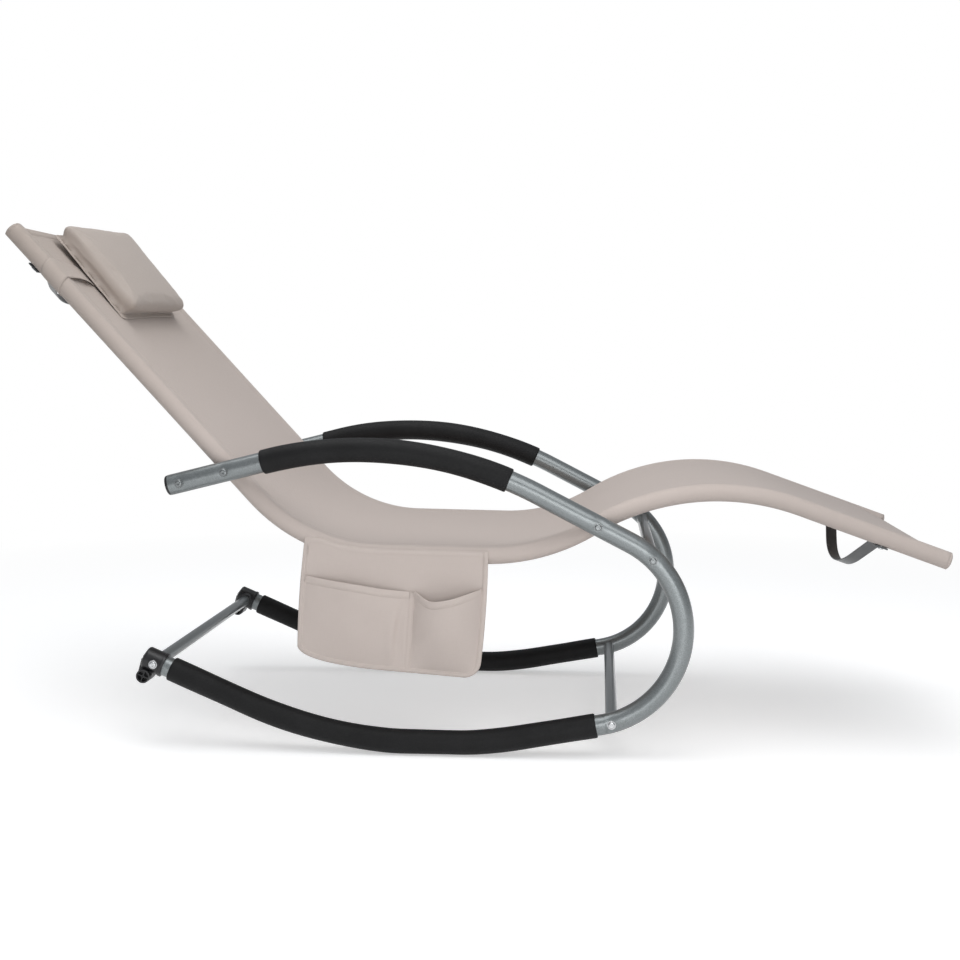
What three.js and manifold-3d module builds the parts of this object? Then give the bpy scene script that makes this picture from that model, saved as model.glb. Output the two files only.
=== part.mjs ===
// Rocking chaise lounge. Two bent tube side frames stand on foam-sleeved rockers, four
// crossbars tie them together, and two S-shaped rails bolted between them carry a sling
// seat with spreader bows, a strapped headrest pillow and a side pouch with two pockets.
// Millimetres, +Z up, +X towards the foot end. The origin is on the floor, under the
// middle of the chair. Right and left are those of the person who lies in it.

import * as THREE from 'three'
import { mergeVertices } from 'three/addons/utils/BufferGeometryUtils.js'
import Module from 'manifold-3d'

const wasm = await Module()
wasm.setup()

// Clearances and drawing steps
const gap = 0.3 // between pieces that touch
const overrun = 2 // how far a cut runs past the surface that it opens
const chordError = 0.8 // how far a bend's straight steps stay from its true arc
const tubeSides = 16
const railSides = 12
const boreSides = 8
const barSides = 12
const boltSides = 8

// Side frame: one centreline from the rear end of the rocker to the rear end of the arm
const frameSpacing = 576
const frameRadius = 16
const hoopWall = 2
const rockerWall = 1.5
const tailLength = 173
const rockerRadius = 706
const rockerRearSweep = 23.4
const restRadius = 362 // a tighter bend on either side of the flat that it rests on
const restSweep = 5
const floorFlat = 84
const rockerFrontSweep = 10.4
const rockerFrontLength = 127
const loopRadius = 151
const loopSweep = 142.2
const risingLength = 157
const armRadius = 597.5
const armSweep = 41.4
const armTailLength = 159.5

// Foam sleeves: how far their ends stand in from the rear ends of the tubes, from the start
// of the front loop and from the start of the arm's bend
const foamRadius = 19
const rockerFoamRearInset = 43.2
const rockerFoamFrontInset = 8.1
const armFoamFrontInset = { right: 50.7, left: 34.7 }
const armFoamRearInset = { right: 149.3, left: 133.3 }

// Where the frame's two tubes join, and its bolts, from the front loop's start and end and
// from the arm's rear end
const spliceFromLoop = 6.9
const spigotLength = 42
const spigotNeck = 4
const lowBarFromLoop = 15.9
const frontBarBeforeLoopEnd = 41.3
const frontRailPastLoopEnd = 55.7
const rearRailInset = 91.3
const rearBarInset = 18.3

// Bolts
const boltRadius = 3
const boltHeadRadius = 5.6
const boltHeadHeight = 3.2
const boltHeadRim = 1.1
const socketRadius = 2
const socketDepth = 1.8
const boltGrip = 18 // how deep a bolt goes into a crossbar's threaded insert

// Crossbars and their threaded inserts
const barRadius = 9.5
const frontBarWall = 2
const rearBarWall = 1.2
const insertLength = 22

// End plugs
const plugStem = 12
const plugHead = 4.5
const plugRound = 1.5

// Tail fittings, which close the rockers and hold the rear lower crossbar
const fittingOverlap = 32.2 // of the sleeve over the rocker's rear end
const fittingLength = 37
const fittingRadius = 18.5
const fittingEnd = 3.4
const fittingBandLength = 5
const fittingBandHeight = 0.8
const fittingPadRadius = 8
const fittingPadHeight = 0.8
const tailBoltInset = 15
const socketCollarRadius = 13
const socketCollarLength = 6
const stopRadius = 11
const stopInset = 23
const stopDrop = 25.4
const stopLength = 34
const stopRecessRadius = 8.6
const stopRecessDepth = 10
const stopRib = 1.6
const stopWebLength = 20

// Seat rails, from head to foot
const railSpacing = 508
const railRadius = 12.5
const railWall = 1.2
const backLength = 564
const hipRadius = 267
const hipSweep = 46.6
const seatLength = 168
const thighRadius = 307.5
const thighSweep = 32.2
const kneeGapLength = 6
const kneeRadius = 368
const kneeSweep = 51.1
const calfLength = 230.5
const railRearBoltStation = 507.5
const railCapHead = 4
const spacerRadius = 9

// Sling
const hemWall = 0.8
const slingThickness = 1.2
const slingHeight = 4 // middle of the cloth above the rails' centrelines
const slingInset = 3
const footScoop = 5
const hemEndRound = 3

// Spreader bows under the sling
const headBowStation = 64
const footBowInset = 98
const bowWidth = 20
const bowThickness = 2.4
const bowEnd = 11 // of the strip, outside the rail's middle
const bowPad = 44 // inside the rail's middle, flat up to the bend
const bowBend = 18
const bowSweep = 22.5
const bowCurve = 300
const bowScrewRadius = 2.5
const bowScrewHeadRadius = 4.8
const bowScrewHeadHeight = 2.4
const bowScrewLength = 10

// Headrest pillow and the band that straps it to the rails
const pillowLength = 178
const pillowWidth = 312
const pillowDepth = 33
const pillowCrown = 8
const pillowPull = 5
const pillowCorner = 14
const pillowStation = 98
const pillowSlant = 16 // how much nearer the head its left end lies than its right end
const pillowShift = -5 // towards the left
const pillowRise = 10.5 // the seam at the pillow's lower end, above the rails' centrelines
const pillowPitch = 3.2
const pillowBottomCrown = 10
const pillowSeamFlange = 2.5
const pillowSeamHalf = 1.2
const bandWidth = 43
const bandThickness = 1
const bandTopStation = 90
const bandBottomStation = 103
const bandLean = 10 // the band leaves the pillow this much nearer the foot
const bandTuck = 10
const bandRise = 12.6
const bandSteps = 10

// Side pouch
const pouchWidth = 287
const pouchHeight = 200
const pouchTilt = 4.1
const pouchFrontCorner = 24
const pouchRearCorner = 28
const pouchRearCurve = 118 // how far the rear bottom corner's curve runs along the bottom
const pouchRearSag = 3
const pouchFlare = 3 // how far each side swells outwards half-way down
const pouchCloth = 1.5
const pouchFrontStation = 956 // along the rail, where the pouch's front top corner hangs
const pouchRise = 8 // top edge above the rail's centreline
const pouchTopSteps = 8
const pouchSideSteps = 4
const pouchCornerSteps = 6
const pocketCloth = 1.2
const pocketSplit = 174
const pocketSeam = 2
const largePocketDrops = [61, 64.5, 67.5, 71.5, 73]
const smallPocketDrops = [71.5, 82, 77, 67, 57.5]
const largePocketBulge = 12
const smallPocketBulge = 27
const pocketSteps = 12
const pocketRows = 6

const radians = THREE.MathUtils.degToRad

// Materials
const finishes = {
  paint: { color: 0x8a8f91, roughness: 0.38, metalness: 0.55 },
  foam: { color: 0x17181a, roughness: 0.82, metalness: 0 },
  plastic: { color: 0x121315, roughness: 0.5, metalness: 0 },
  zinc: { color: 0xb9bcbd, roughness: 0.3, metalness: 0.9 },
  cloth: { color: 0xb9aea6, roughness: 0.85, metalness: 0 },
}

const chair = new THREE.Group()

function add(name, geometry, finish) {
  const mesh = new THREE.Mesh(geometry, new THREE.MeshStandardMaterial(finishes[finish]))
  mesh.name = name
  chair.add(mesh)
  return mesh
}

// Solids for cutting and joining
function solidOf(geometry) {
  const bare = geometry.clone()
  bare.deleteAttribute('normal')
  bare.deleteAttribute('uv')
  const merged = mergeVertices(bare)
  return new wasm.Manifold(new wasm.Mesh({
    numProp: 3,
    vertProperties: merged.attributes.position.array,
    triVerts: new Uint32Array(merged.index.array),
  }))
}

function geometryOf(solid) {
  const mesh = solid.getMesh()
  const geometry = new THREE.BufferGeometry()
  geometry.setAttribute('position', new THREE.BufferAttribute(mesh.vertProperties, 3))
  geometry.setIndex(new THREE.BufferAttribute(mesh.triVerts, 1))
  return geometry
}

function cut(geometry, tools) {
  let solid = solidOf(geometry)
  for (const tool of tools) solid = solid.subtract(solidOf(tool))
  return geometryOf(solid)
}

function join(geometries) {
  let solid = solidOf(geometries[0])
  for (const more of geometries.slice(1)) solid = solid.add(solidOf(more))
  return geometryOf(solid)
}

// Centrelines in the X-Z plane, as lists of points. A leg is a straight length or an arc
// that turns left when its sweep is positive.
const straight = (length) => ({ length })
const arc = (radius, sweep) => ({ radius, sweep: radians(sweep) })

function layPath(startHeading, legs) {
  const points = [new THREE.Vector2()]
  const joins = []
  let heading = startHeading
  const step = (length, direction) => {
    const last = points[points.length - 1]
    const move = new THREE.Vector2(length, 0).rotateAround(new THREE.Vector2(), direction)
    points.push(last.clone().add(move))
  }
  for (const leg of legs) {
    if (leg.length !== undefined) {
      step(leg.length, heading)
      joins.push(points.length - 1)
      continue
    }
    const finest = 2 * Math.acos(1 - chordError / leg.radius)
    const count = Math.ceil(Math.abs(leg.sweep) / finest)
    const turn = leg.sweep / count
    const chord = 2 * leg.radius * Math.sin(Math.abs(turn) / 2)
    for (let i = 0; i < count; i++) {
      step(chord, heading + turn / 2)
      heading += turn
    }
    joins.push(points.length - 1)
  }
  return { points, joins }
}

function stationsOf(points) {
  const stations = [0]
  for (let i = 1; i < points.length; i++) {
    stations.push(stations[i - 1] + points[i].distanceTo(points[i - 1]))
  }
  return stations
}

function segmentAt(path, station) {
  const last = path.points.length - 2
  let i = 0
  while (i < last && path.stations[i + 1] <= station) i++
  return i
}

// The place and direction at a distance along a path; the end legs run on past its ends.
function placeAt(path, station) {
  const i = segmentAt(path, station)
  const direction = path.points[i + 1].clone().sub(path.points[i]).normalize()
  const along = station - path.stations[i]
  const point = path.points[i].clone().addScaledVector(direction, along)
  return { point, direction, heading: direction.angle() }
}

// A stretch of a path in the plane Y = y, as a curve that an extrusion follows point by point
class Stretch extends THREE.Curve {
  constructor(path, from, to, y) {
    super()
    const inner = path.points.filter((_, i) => {
      return path.stations[i] > from + gap && path.stations[i] < to - gap
    })
    const flat = [placeAt(path, from).point, ...inner, placeAt(path, to).point]
    this.points = flat.map((point) => new THREE.Vector3(point.x, y, point.y))
    this.steps = this.points.length - 1
  }

  getPointAt(share) {
    return this.points[Math.round(share * this.steps)].clone()
  }

  getTangentAt(share) {
    const i = Math.round(share * this.steps)
    const tangent = new THREE.Vector3()
    const add = (a, b) => tangent.add(this.points[b].clone().sub(this.points[a]).normalize())
    if (i > 0) add(i - 1, i)
    if (i < this.steps) add(i, i + 1)
    return tangent.normalize()
  }
}

function sweep(section, stretch) {
  return new THREE.ExtrudeGeometry(section, { steps: stretch.steps, extrudePath: stretch })
}

// A round section drawn as a polygon whose flats lie on the circle, one of them straight up
function circleOf(radius, sides, Kind = THREE.Shape) {
  const corner = radius / Math.cos(Math.PI / sides)
  const points = []
  for (let i = 0; i < sides; i++) {
    const angle = (2 * Math.PI * (i + 0.5)) / sides + Math.PI / 2
    points.push(new THREE.Vector2(corner * Math.cos(angle), corner * Math.sin(angle)))
  }
  return new Kind(points)
}

function ringOf(radius, sides, bore, innerSides) {
  const section = circleOf(radius, sides)
  section.holes.push(circleOf(bore, innerSides, THREE.Path))
  return section
}

// A cylinder along Y, from y = from to y = to, with its flats on the circle
function crossPin(point, from, to, radius, sides) {
  const corner = radius / Math.cos(Math.PI / sides)
  const geometry = new THREE.CylinderGeometry(corner, corner, Math.abs(to - from), sides)
  geometry.rotateY(Math.PI / sides)
  return geometry.translate(point.x, (from + to) / 2, point.y)
}

// A turned piece whose axis, +Y in its profile, points along a direction in the X-Z plane
function turned(profile, place, reversed, y) {
  const geometry = new THREE.LatheGeometry(profile, barSides)
  geometry.rotateY(Math.PI / barSides)
  geometry.rotateX(Math.PI / 2)
  const towards = place.heading + (reversed ? Math.PI : 0)
  geometry.rotateY(Math.PI / 2 - towards)
  return geometry.translate(place.point.x, y, place.point.y)
}

const at = (x, y) => new THREE.Vector2(x, y)

// The side frame's centreline, shifted so that its floor flat is level and centred at X = 0
const framePath = layPath(-radians(rockerRearSweep), [
  straight(tailLength),
  arc(rockerRadius, rockerRearSweep - restSweep),
  arc(restRadius, restSweep),
  straight(floorFlat),
  arc(restRadius, restSweep),
  arc(rockerRadius, rockerFrontSweep - restSweep),
  straight(rockerFrontLength),
  arc(loopRadius, loopSweep),
  straight(risingLength),
  arc(armRadius, armSweep),
  straight(armTailLength),
])
framePath.stations = stationsOf(framePath.points)
const lowest = framePath.points.reduce((low, point) => (point.y < low.y ? point : low))
const lowestIndex = framePath.points.indexOf(lowest)
const flatIndex = framePath.points[lowestIndex + 1].y - lowest.y < gap ? lowestIndex : lowestIndex - 1
const flatStart = framePath.points[flatIndex].clone()
const contactStation = framePath.stations[flatIndex] + floorFlat / 2
for (const point of framePath.points) {
  point.sub(flatStart).add(at(-floorFlat / 2, foamRadius))
}
const onFrame = (station) => placeAt(framePath, contactStation + station)
const frameEnd = framePath.stations[framePath.stations.length - 1]

// Places along the centreline, from the floor contact
const [loopStart, loopEnd, armStart] = framePath.joins.slice(-5, -2).map((i) => {
  return framePath.stations[i] - contactStation
})
const armEnd = frameEnd - contactStation
const spliceStation = loopStart + spliceFromLoop
const lowBarStation = loopStart + lowBarFromLoop
const frontBarStation = loopEnd - frontBarBeforeLoopEnd
const frontRailStation = loopEnd + frontRailPastLoopEnd
const rearRailStation = armEnd - rearRailInset
const rearBarStation = armEnd - rearBarInset
const fittingStation = fittingOverlap - contactStation
const frameStretch = (from, to, y) => new Stretch(framePath, contactStation + from, contactStation + to, y)

// The rails' centreline, laid from the head end and then turned and moved so that it runs
// through both bolts that join it to the side frame
const railPath = layPath(0, [
  straight(backLength),
  arc(hipRadius, hipSweep),
  straight(seatLength),
  arc(thighRadius, thighSweep),
  straight(kneeGapLength),
  arc(kneeRadius, -kneeSweep),
  straight(calfLength),
])
railPath.stations = stationsOf(railPath.points)
const rearPivot = onFrame(rearRailStation).point
const frontPivot = onFrame(frontRailStation).point
const railPivot = placeAt(railPath, railRearBoltStation).point.clone()
const boltPitch = rearPivot.distanceTo(frontPivot)

function railStationAtPitch() {
  let low = railRearBoltStation
  let high = railPath.stations[railPath.stations.length - 1]
  while (high - low > gap / boltPitch) {
    const middle = (low + high) / 2
    if (placeAt(railPath, middle).point.distanceTo(railPivot) < boltPitch) low = middle
    else high = middle
  }
  return low
}

const railFrontBoltStation = railStationAtPitch()
const laid = placeAt(railPath, railFrontBoltStation).point.sub(railPivot).angle()
const wanted = frontPivot.clone().sub(rearPivot).angle()
for (const point of railPath.points) {
  point.rotateAround(railPivot, wanted - laid).sub(railPivot).add(rearPivot)
}
const onRail = (station) => placeAt(railPath, station)
const railLength = railPath.stations[railPath.stations.length - 1]
const railStretch = (from, to, y) => new Stretch(railPath, from, to, y)

// A matrix whose X runs along the rails towards the foot and whose Z is square to them
function railFrame(station) {
  const place = onRail(station)
  const turn = new THREE.Matrix4().makeRotationY(-place.heading)
  return turn.setPosition(place.point.x, 0, place.point.y)
}

// Sizes that follow from the driving ones
const frameBore = frameRadius - hoopWall
const rockerBore = frameRadius - rockerWall
const spigotRadius = frameBore - gap
const railBore = railRadius - railWall
const boltHole = boltRadius + gap
const hemRadius = railRadius + gap + hemWall
const frameFace = frameSpacing / 2 - frameRadius
const barHalf = frameFace - gap
const fittingFace = frameSpacing / 2 - fittingRadius
const tailStation = fittingStation - tailBoltInset
const footBowStation = railLength - footBowInset
const slingHemEnd = railCapHead + gap

// Bolts that run across the chair. A side is 1 on the left and -1 on the right.
const frameBolts = [
  { name: 'rear_bar_bolt', station: rearBarStation },
  { name: 'rear_rail_bolt', station: rearRailStation },
  { name: 'front_rail_bolt', station: frontRailStation },
  { name: 'front_bar_bolt', station: frontBarStation },
  { name: 'low_bar_bolt', station: lowBarStation },
]
const railBolts = [railRearBoltStation, railFrontBoltStation]

function boltGeometry(point, side, seat, reach) {
  const profile = [
    at(0, boltHeadHeight - socketDepth),
    at(socketRadius, boltHeadHeight - socketDepth),
    at(socketRadius, boltHeadHeight),
    at(boltHeadRadius * Math.SQRT1_2, boltHeadHeight - boltHeadRim / 2),
    at(boltHeadRadius, boltHeadRim),
    at(boltHeadRadius, 0),
    at(boltRadius, 0),
    at(boltRadius, -reach),
    at(0, -reach),
  ].reverse()
  const geometry = new THREE.LatheGeometry(profile, boltSides)
  if (side < 0) geometry.rotateX(Math.PI)
  return geometry.translate(point.x, side * seat, point.y)
}

function boltCut(station, side) {
  const outside = frameSpacing / 2 + fittingRadius + overrun
  const inside = railSpacing / 2
  return crossPin(onFrame(station).point, side * inside, side * outside, boltHole, boltSides)
}

// Side frames
function makeHoop(side, label) {
  const y = side * frameSpacing / 2
  const end = frameEnd - contactStation
  const section = ringOf(frameRadius, tubeSides, frameBore, boreSides)
  const tube = sweep(section, frameStretch(spliceStation + gap, end, y))
  const cuts = frameBolts.map((bolt) => boltCut(bolt.station, side))
  add(`${label}_arm_hoop`, cut(tube, cuts), 'paint')

  const plug = [
    at(0, -plugStem),
    at(spigotRadius, -plugStem),
    at(spigotRadius, gap),
    at(frameRadius, gap),
    at(frameRadius, plugHead - plugRound),
    at(frameRadius - plugRound, plugHead),
    at(0, plugHead),
  ]
  add(`${label}_arm_end_plug`, turned(plug, onFrame(end), false, y), 'plastic')
}

function makeRocker(side, label) {
  const y = side * frameSpacing / 2
  const start = -contactStation
  const bodySection = ringOf(frameRadius, tubeSides, rockerBore, boreSides)
  const neckSection = ringOf(frameRadius, tubeSides, spigotRadius - rockerWall, boreSides)
  const spigotSection = ringOf(spigotRadius, boreSides, spigotRadius - rockerWall, boreSides)
  const body = sweep(bodySection, frameStretch(start, spliceStation, y))
  const neck = sweep(neckSection, frameStretch(spliceStation - spigotNeck, spliceStation, y))
  const spigotStretch = frameStretch(spliceStation - spigotNeck, spliceStation + spigotLength, y)
  const tube = join([body, neck, sweep(spigotSection, spigotStretch)])
  const cuts = [boltCut(lowBarStation, side), boltCut(tailStation, side)]
  add(`${label}_rocker_tube`, cut(tube, cuts), 'paint')
}

function makeFoam(side, label) {
  const y = side * frameSpacing / 2
  const section = ringOf(foamRadius, tubeSides, frameRadius + gap, tubeSides)
  const armFront = armStart + armFoamFrontInset[label]
  const arm = frameStretch(armFront, armEnd - armFoamRearInset[label], y)
  const rockerRear = rockerFoamRearInset - contactStation
  const rocker = frameStretch(rockerRear, loopStart - rockerFoamFrontInset, y)
  add(`${label}_arm_grip`, sweep(section, arm), 'foam')
  add(`${label}_rocker_grip`, sweep(section, rocker), 'foam')
}

// The tail fitting: a cap over the rocker's end with a collar for the crossbar on its inner
// side and a round stop under its rear
function makeTailFitting(side, label) {
  const y = side * frameSpacing / 2
  const front = fittingStation
  const rear = fittingStation - fittingLength
  const place = onFrame(front)
  const up = at(-place.direction.y, place.direction.x)
  const spot = (inset, drop) => {
    return place.point.clone().addScaledVector(place.direction, -inset).addScaledVector(up, -drop)
  }
  const stop = spot(stopInset, stopDrop)
  const stopEnd = frameSpacing / 2 + stopLength / 2
  const stopStart = frameSpacing / 2 - stopLength / 2
  const bolt = onFrame(tailStation).point
  const padFace = frameSpacing / 2 + fittingRadius + fittingPadHeight
  const collarFace = fittingFace - socketCollarLength

  const cap = sweep(circleOf(fittingRadius, tubeSides), frameStretch(rear, front, y))
  const bandRadius = fittingRadius + fittingBandHeight
  const band = sweep(circleOf(bandRadius, tubeSides), frameStretch(front - fittingBandLength, front, y))
  const stopBody = crossPin(stop, side * stopStart, side * stopEnd, stopRadius, barSides)
  const pad = crossPin(bolt, side * frameSpacing / 2, side * padFace, fittingPadRadius, boltSides)
  const collarSpan = [side * frameSpacing / 2, side * collarFace]
  const collar = crossPin(bolt, ...collarSpan, socketCollarRadius, barSides)

  const webHalf = stopWebLength / 2
  const webOutline = new THREE.Shape([
    spot(stopInset - stopRadius, 0),
    spot(stopInset - stopRadius, stopDrop),
    spot(stopInset + stopRadius, stopDrop),
    spot(fittingLength, 0),
  ])
  const web = new THREE.ExtrudeGeometry(webOutline, { depth: 2 * webHalf, bevelEnabled: false })
  web.rotateX(Math.PI / 2)
  web.translate(0, y + webHalf, 0)

  const recess = new THREE.Shape()
  const inner = stopRib / 2
  const reach = Math.sqrt(stopRecessRadius ** 2 - inner ** 2)
  const fromAngle = Math.atan2(inner, reach)
  recess.moveTo(inner, inner)
  recess.lineTo(reach, inner)
  recess.absarc(0, 0, stopRecessRadius, fromAngle, Math.PI / 2 - fromAngle, false)
  const pockets = []
  for (let i = 0; i < 4; i++) {
    const depth = stopRecessDepth + overrun
    const pocket = new THREE.ExtrudeGeometry(recess, { depth, bevelEnabled: false, curveSegments: 3 })
    pocket.rotateX(Math.PI / 2)
    pocket.rotateY((i * Math.PI) / 2 + place.heading)
    const pocketEnd = side > 0 ? stopEnd + overrun : -stopEnd + stopRecessDepth
    pockets.push(pocket.translate(stop.x, pocketEnd, stop.y))
  }

  const boreEnd = rear + fittingEnd
  const bore = sweep(circleOf(frameRadius + gap, tubeSides), frameStretch(boreEnd, front + overrun, y))
  const boltHoleCut = crossPin(bolt, side * collarFace, side * (padFace + overrun), boltHole, boltSides)
  const seatStart = fittingFace - gap
  const seatEnd = collarFace - overrun
  const barSeat = crossPin(bolt, side * seatEnd, side * seatStart, barRadius + gap, barSides)
  const whole = join([cap, band, stopBody, pad, collar, web])
  add(`${label}_tail_fitting`, cut(whole, [bore, boltHoleCut, barSeat, ...pockets]), 'plastic')
}

function makeBolts(side, label) {
  const seat = frameSpacing / 2 + frameRadius + gap
  for (const bolt of frameBolts) {
    const toBar = bolt.name.includes('bar')
    const tip = toBar ? barHalf - boltGrip : railSpacing / 2
    const geometry = boltGeometry(onFrame(bolt.station).point, side, seat, seat - tip)
    add(`${label}_${bolt.name}`, geometry, 'zinc')
  }
  const tailSeat = frameSpacing / 2 + fittingRadius + fittingPadHeight + gap
  const tailTip = fittingFace - boltGrip
  const tailPoint = onFrame(tailStation).point
  add(`${label}_tail_bolt`, boltGeometry(tailPoint, side, tailSeat, tailSeat - tailTip), 'zinc')
}

// Crossbars, each a tube with a threaded insert in either end
function makeBar(name, station, half, wall) {
  const point = onFrame(station).point
  const barBore = barRadius - wall
  const section = ringOf(barRadius, barSides, barBore, boreSides)
  const tube = new THREE.ExtrudeGeometry(section, { depth: 2 * half, bevelEnabled: false })
  tube.rotateX(Math.PI / 2)
  add(name, tube.translate(point.x, half, point.y), 'paint')

  const insert = new THREE.LatheGeometry([
    at(boltHole, 0),
    at(barBore - gap, 0),
    at(barBore - gap, insertLength),
    at(boltHole, insertLength),
    at(boltHole, 0),
  ], barSides)
  for (const [label, side] of sides) {
    const y = side > 0 ? half - insertLength : -half
    add(`${label}_${name}_insert`, insert.clone().translate(point.x, y, point.y), 'zinc')
  }
}

// Seat rails, their end caps and the spacers between them and the side frames
function makeRail(side, label) {
  const y = side * railSpacing / 2
  const section = ringOf(railRadius, railSides, railBore, boreSides)
  const tube = sweep(section, railStretch(0, railLength, y))
  const cuts = railBolts.map((station) => {
    const outside = railSpacing / 2 + railRadius + overrun
    return crossPin(onRail(station).point, y, side * outside, boltHole, boltSides)
  })
  for (const station of [headBowStation, footBowStation]) cuts.push(bowHole(station, y))
  add(`${label}_seat_rail`, cut(tube, cuts), 'paint')

  const capStem = railBore - gap
  const cap = [
    at(0, -plugStem),
    at(capStem, -plugStem),
    at(capStem, gap),
    at(railRadius, gap),
    at(railRadius, railCapHead - plugRound),
    at(railRadius - plugRound, railCapHead),
    at(0, railCapHead),
  ]
  add(`${label}_rail_head_cap`, turned(cap, onRail(0), true, y), 'plastic')
  add(`${label}_rail_foot_cap`, turned(cap, onRail(railLength), false, y), 'plastic')

  const spacerHalf = (frameFace - railSpacing / 2 - hemRadius) / 2 - gap
  const spacerMiddle = (frameFace + railSpacing / 2 + hemRadius) / 2
  const spacer = new THREE.LatheGeometry([
    at(boltHole, -spacerHalf),
    at(spacerRadius, -spacerHalf),
    at(spacerRadius, spacerHalf),
    at(boltHole, spacerHalf),
    at(boltHole, -spacerHalf),
  ], barSides)
  const names = ['rear', 'front']
  railBolts.forEach((station, i) => {
    const point = onRail(station).point
    const geometry = spacer.clone().translate(point.x, side * spacerMiddle, point.y)
    add(`${label}_${names[i]}_spacer`, geometry, 'plastic')
  })
}

// A hole square to the rail, up through its underside
function bowHole(station, y) {
  const height = hemRadius + overrun
  const hole = new THREE.CylinderGeometry(bowScrewRadius + gap, bowScrewRadius + gap, height, boltSides)
  hole.rotateX(Math.PI / 2)
  hole.translate(0, y, -height / 2)
  return hole.applyMatrix4(railFrame(station))
}

// The sling: cloth between two hem sleeves that are closed over the rails' ends
function makeSling() {
  const half = railSpacing / 2
  const cloth = new THREE.Shape([
    at(-half, -slingHeight - slingThickness / 2),
    at(half, -slingHeight - slingThickness / 2),
    at(half, -slingHeight + slingThickness / 2),
    at(-half, -slingHeight + slingThickness / 2),
  ])
  const sheet = sweep(cloth, railStretch(slingInset, railLength - slingInset, 0))

  const scoop = new THREE.Shape()
  const open = half - hemRadius
  scoop.moveTo(overrun, -open)
  scoop.lineTo(overrun, open)
  scoop.lineTo(-slingInset, open)
  scoop.quadraticCurveTo(-2 * footScoop - slingInset, 0, -slingInset, -open)
  const scoopDepth = 2 * hemRadius
  const scoopCut = new THREE.ExtrudeGeometry(scoop, { depth: scoopDepth, bevelEnabled: false })
  scoopCut.translate(0, 0, -hemRadius)
  scoopCut.applyMatrix4(railFrame(railLength))
  let sling = solidOf(sheet).subtract(solidOf(scoopCut))

  const bores = []
  for (const [, side] of sides) {
    const y = side * half
    const rollPath = railStretch(-slingHemEnd, railLength + slingHemEnd, y)
    const roll = sweep(circleOf(hemRadius, railSides), rollPath)
    sling = sling.add(solidOf(roll))
    for (const [station, reversed] of [[-slingHemEnd, true], [railLength + slingHemEnd, false]]) {
      const edge = hemRadius / Math.cos(Math.PI / railSides)
      const end = [
        at(0, -hemWall),
        at(edge, -hemWall),
        at(edge, hemWall),
        at(edge - hemEndRound, hemWall + hemEndRound / 2),
        at(0, hemWall + hemEndRound / 2),
      ]
      sling = sling.add(solidOf(turned(end, onRail(station), reversed, y)))
    }
    const sleeve = railStretch(-slingHemEnd, railLength + slingHemEnd, y)
    bores.push(sweep(circleOf(railRadius + gap, railSides), sleeve))
    for (const station of railBolts) {
      const outside = half + hemRadius + overrun
      bores.push(crossPin(onRail(station).point, y, side * outside, boltHole, boltSides))
    }
    for (const station of [headBowStation, footBowStation]) bores.push(bowHole(station, y))
  }
  for (const bore of bores) sling = sling.subtract(solidOf(bore))
  add('sling', geometryOf(sling), 'cloth')
}

// Spreader bows: bent steel strips screwed up into the rails from below
function makeBow(name, station) {
  const half = railSpacing / 2
  const seat = -hemRadius - gap
  const bend = radians(bowSweep)
  const bends = (bowBend + bowCurve) * Math.sin(bend)
  const legLength = (half - bowPad - bends) / Math.cos(bend)
  const line = layPath(0, [
    straight(bowEnd + bowPad),
    arc(bowBend, -bowSweep),
    straight(legLength),
    arc(bowCurve, 2 * bowSweep),
    straight(legLength),
    arc(bowBend, -bowSweep),
    straight(bowPad + bowEnd),
  ]).points
  const upper = line.map((point) => at(point.x - half - bowEnd, point.y + seat))
  const lower = upper.map((point, i) => {
    const before = upper[Math.max(i - 1, 0)]
    const after = upper[Math.min(i + 1, upper.length - 1)]
    const down = after.clone().sub(before).normalize().rotateAround(at(0, 0), -Math.PI / 2)
    return point.clone().add(down.multiplyScalar(bowThickness))
  })
  const outline = new THREE.Shape([...upper, ...lower.reverse()])
  const strap = new THREE.ExtrudeGeometry(outline, { depth: bowWidth, bevelEnabled: false })
  strap.translate(0, 0, -bowWidth / 2)
  strap.rotateX(Math.PI / 2)
  strap.rotateZ(Math.PI / 2)
  strap.applyMatrix4(railFrame(station))
  const cuts = sides.map(([, side]) => bowHole(station, side * half))
  const strapCuts = cuts.concat(sides.map(([, side]) => bowScrewClear(station, side * half)))
  add(name, cut(strap, strapCuts), 'paint')

  const base = seat - bowThickness - gap
  const screw = new THREE.LatheGeometry([
    at(0, -bowScrewHeadHeight),
    at(bowScrewHeadRadius / 2, -bowScrewHeadHeight),
    at(bowScrewHeadRadius, -bowScrewHeadHeight / 3),
    at(bowScrewHeadRadius, 0),
    at(bowScrewRadius, 0),
    at(bowScrewRadius, bowScrewLength),
    at(0, bowScrewLength),
  ], boltSides)
  screw.rotateX(Math.PI / 2)
  for (const [label, side] of sides) {
    const geometry = screw.clone().translate(0, side * half, base)
    add(`${label}_${name}_screw`, geometry.applyMatrix4(railFrame(station)), 'zinc')
  }
}

function bowScrewClear(station, y) {
  const depth = bowThickness + overrun
  const hole = new THREE.CylinderGeometry(bowScrewRadius + gap, bowScrewRadius + gap, 2 * depth, boltSides)
  hole.rotateX(Math.PI / 2)
  hole.translate(0, y, -hemRadius - gap)
  return hole.applyMatrix4(railFrame(station))
}

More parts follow.
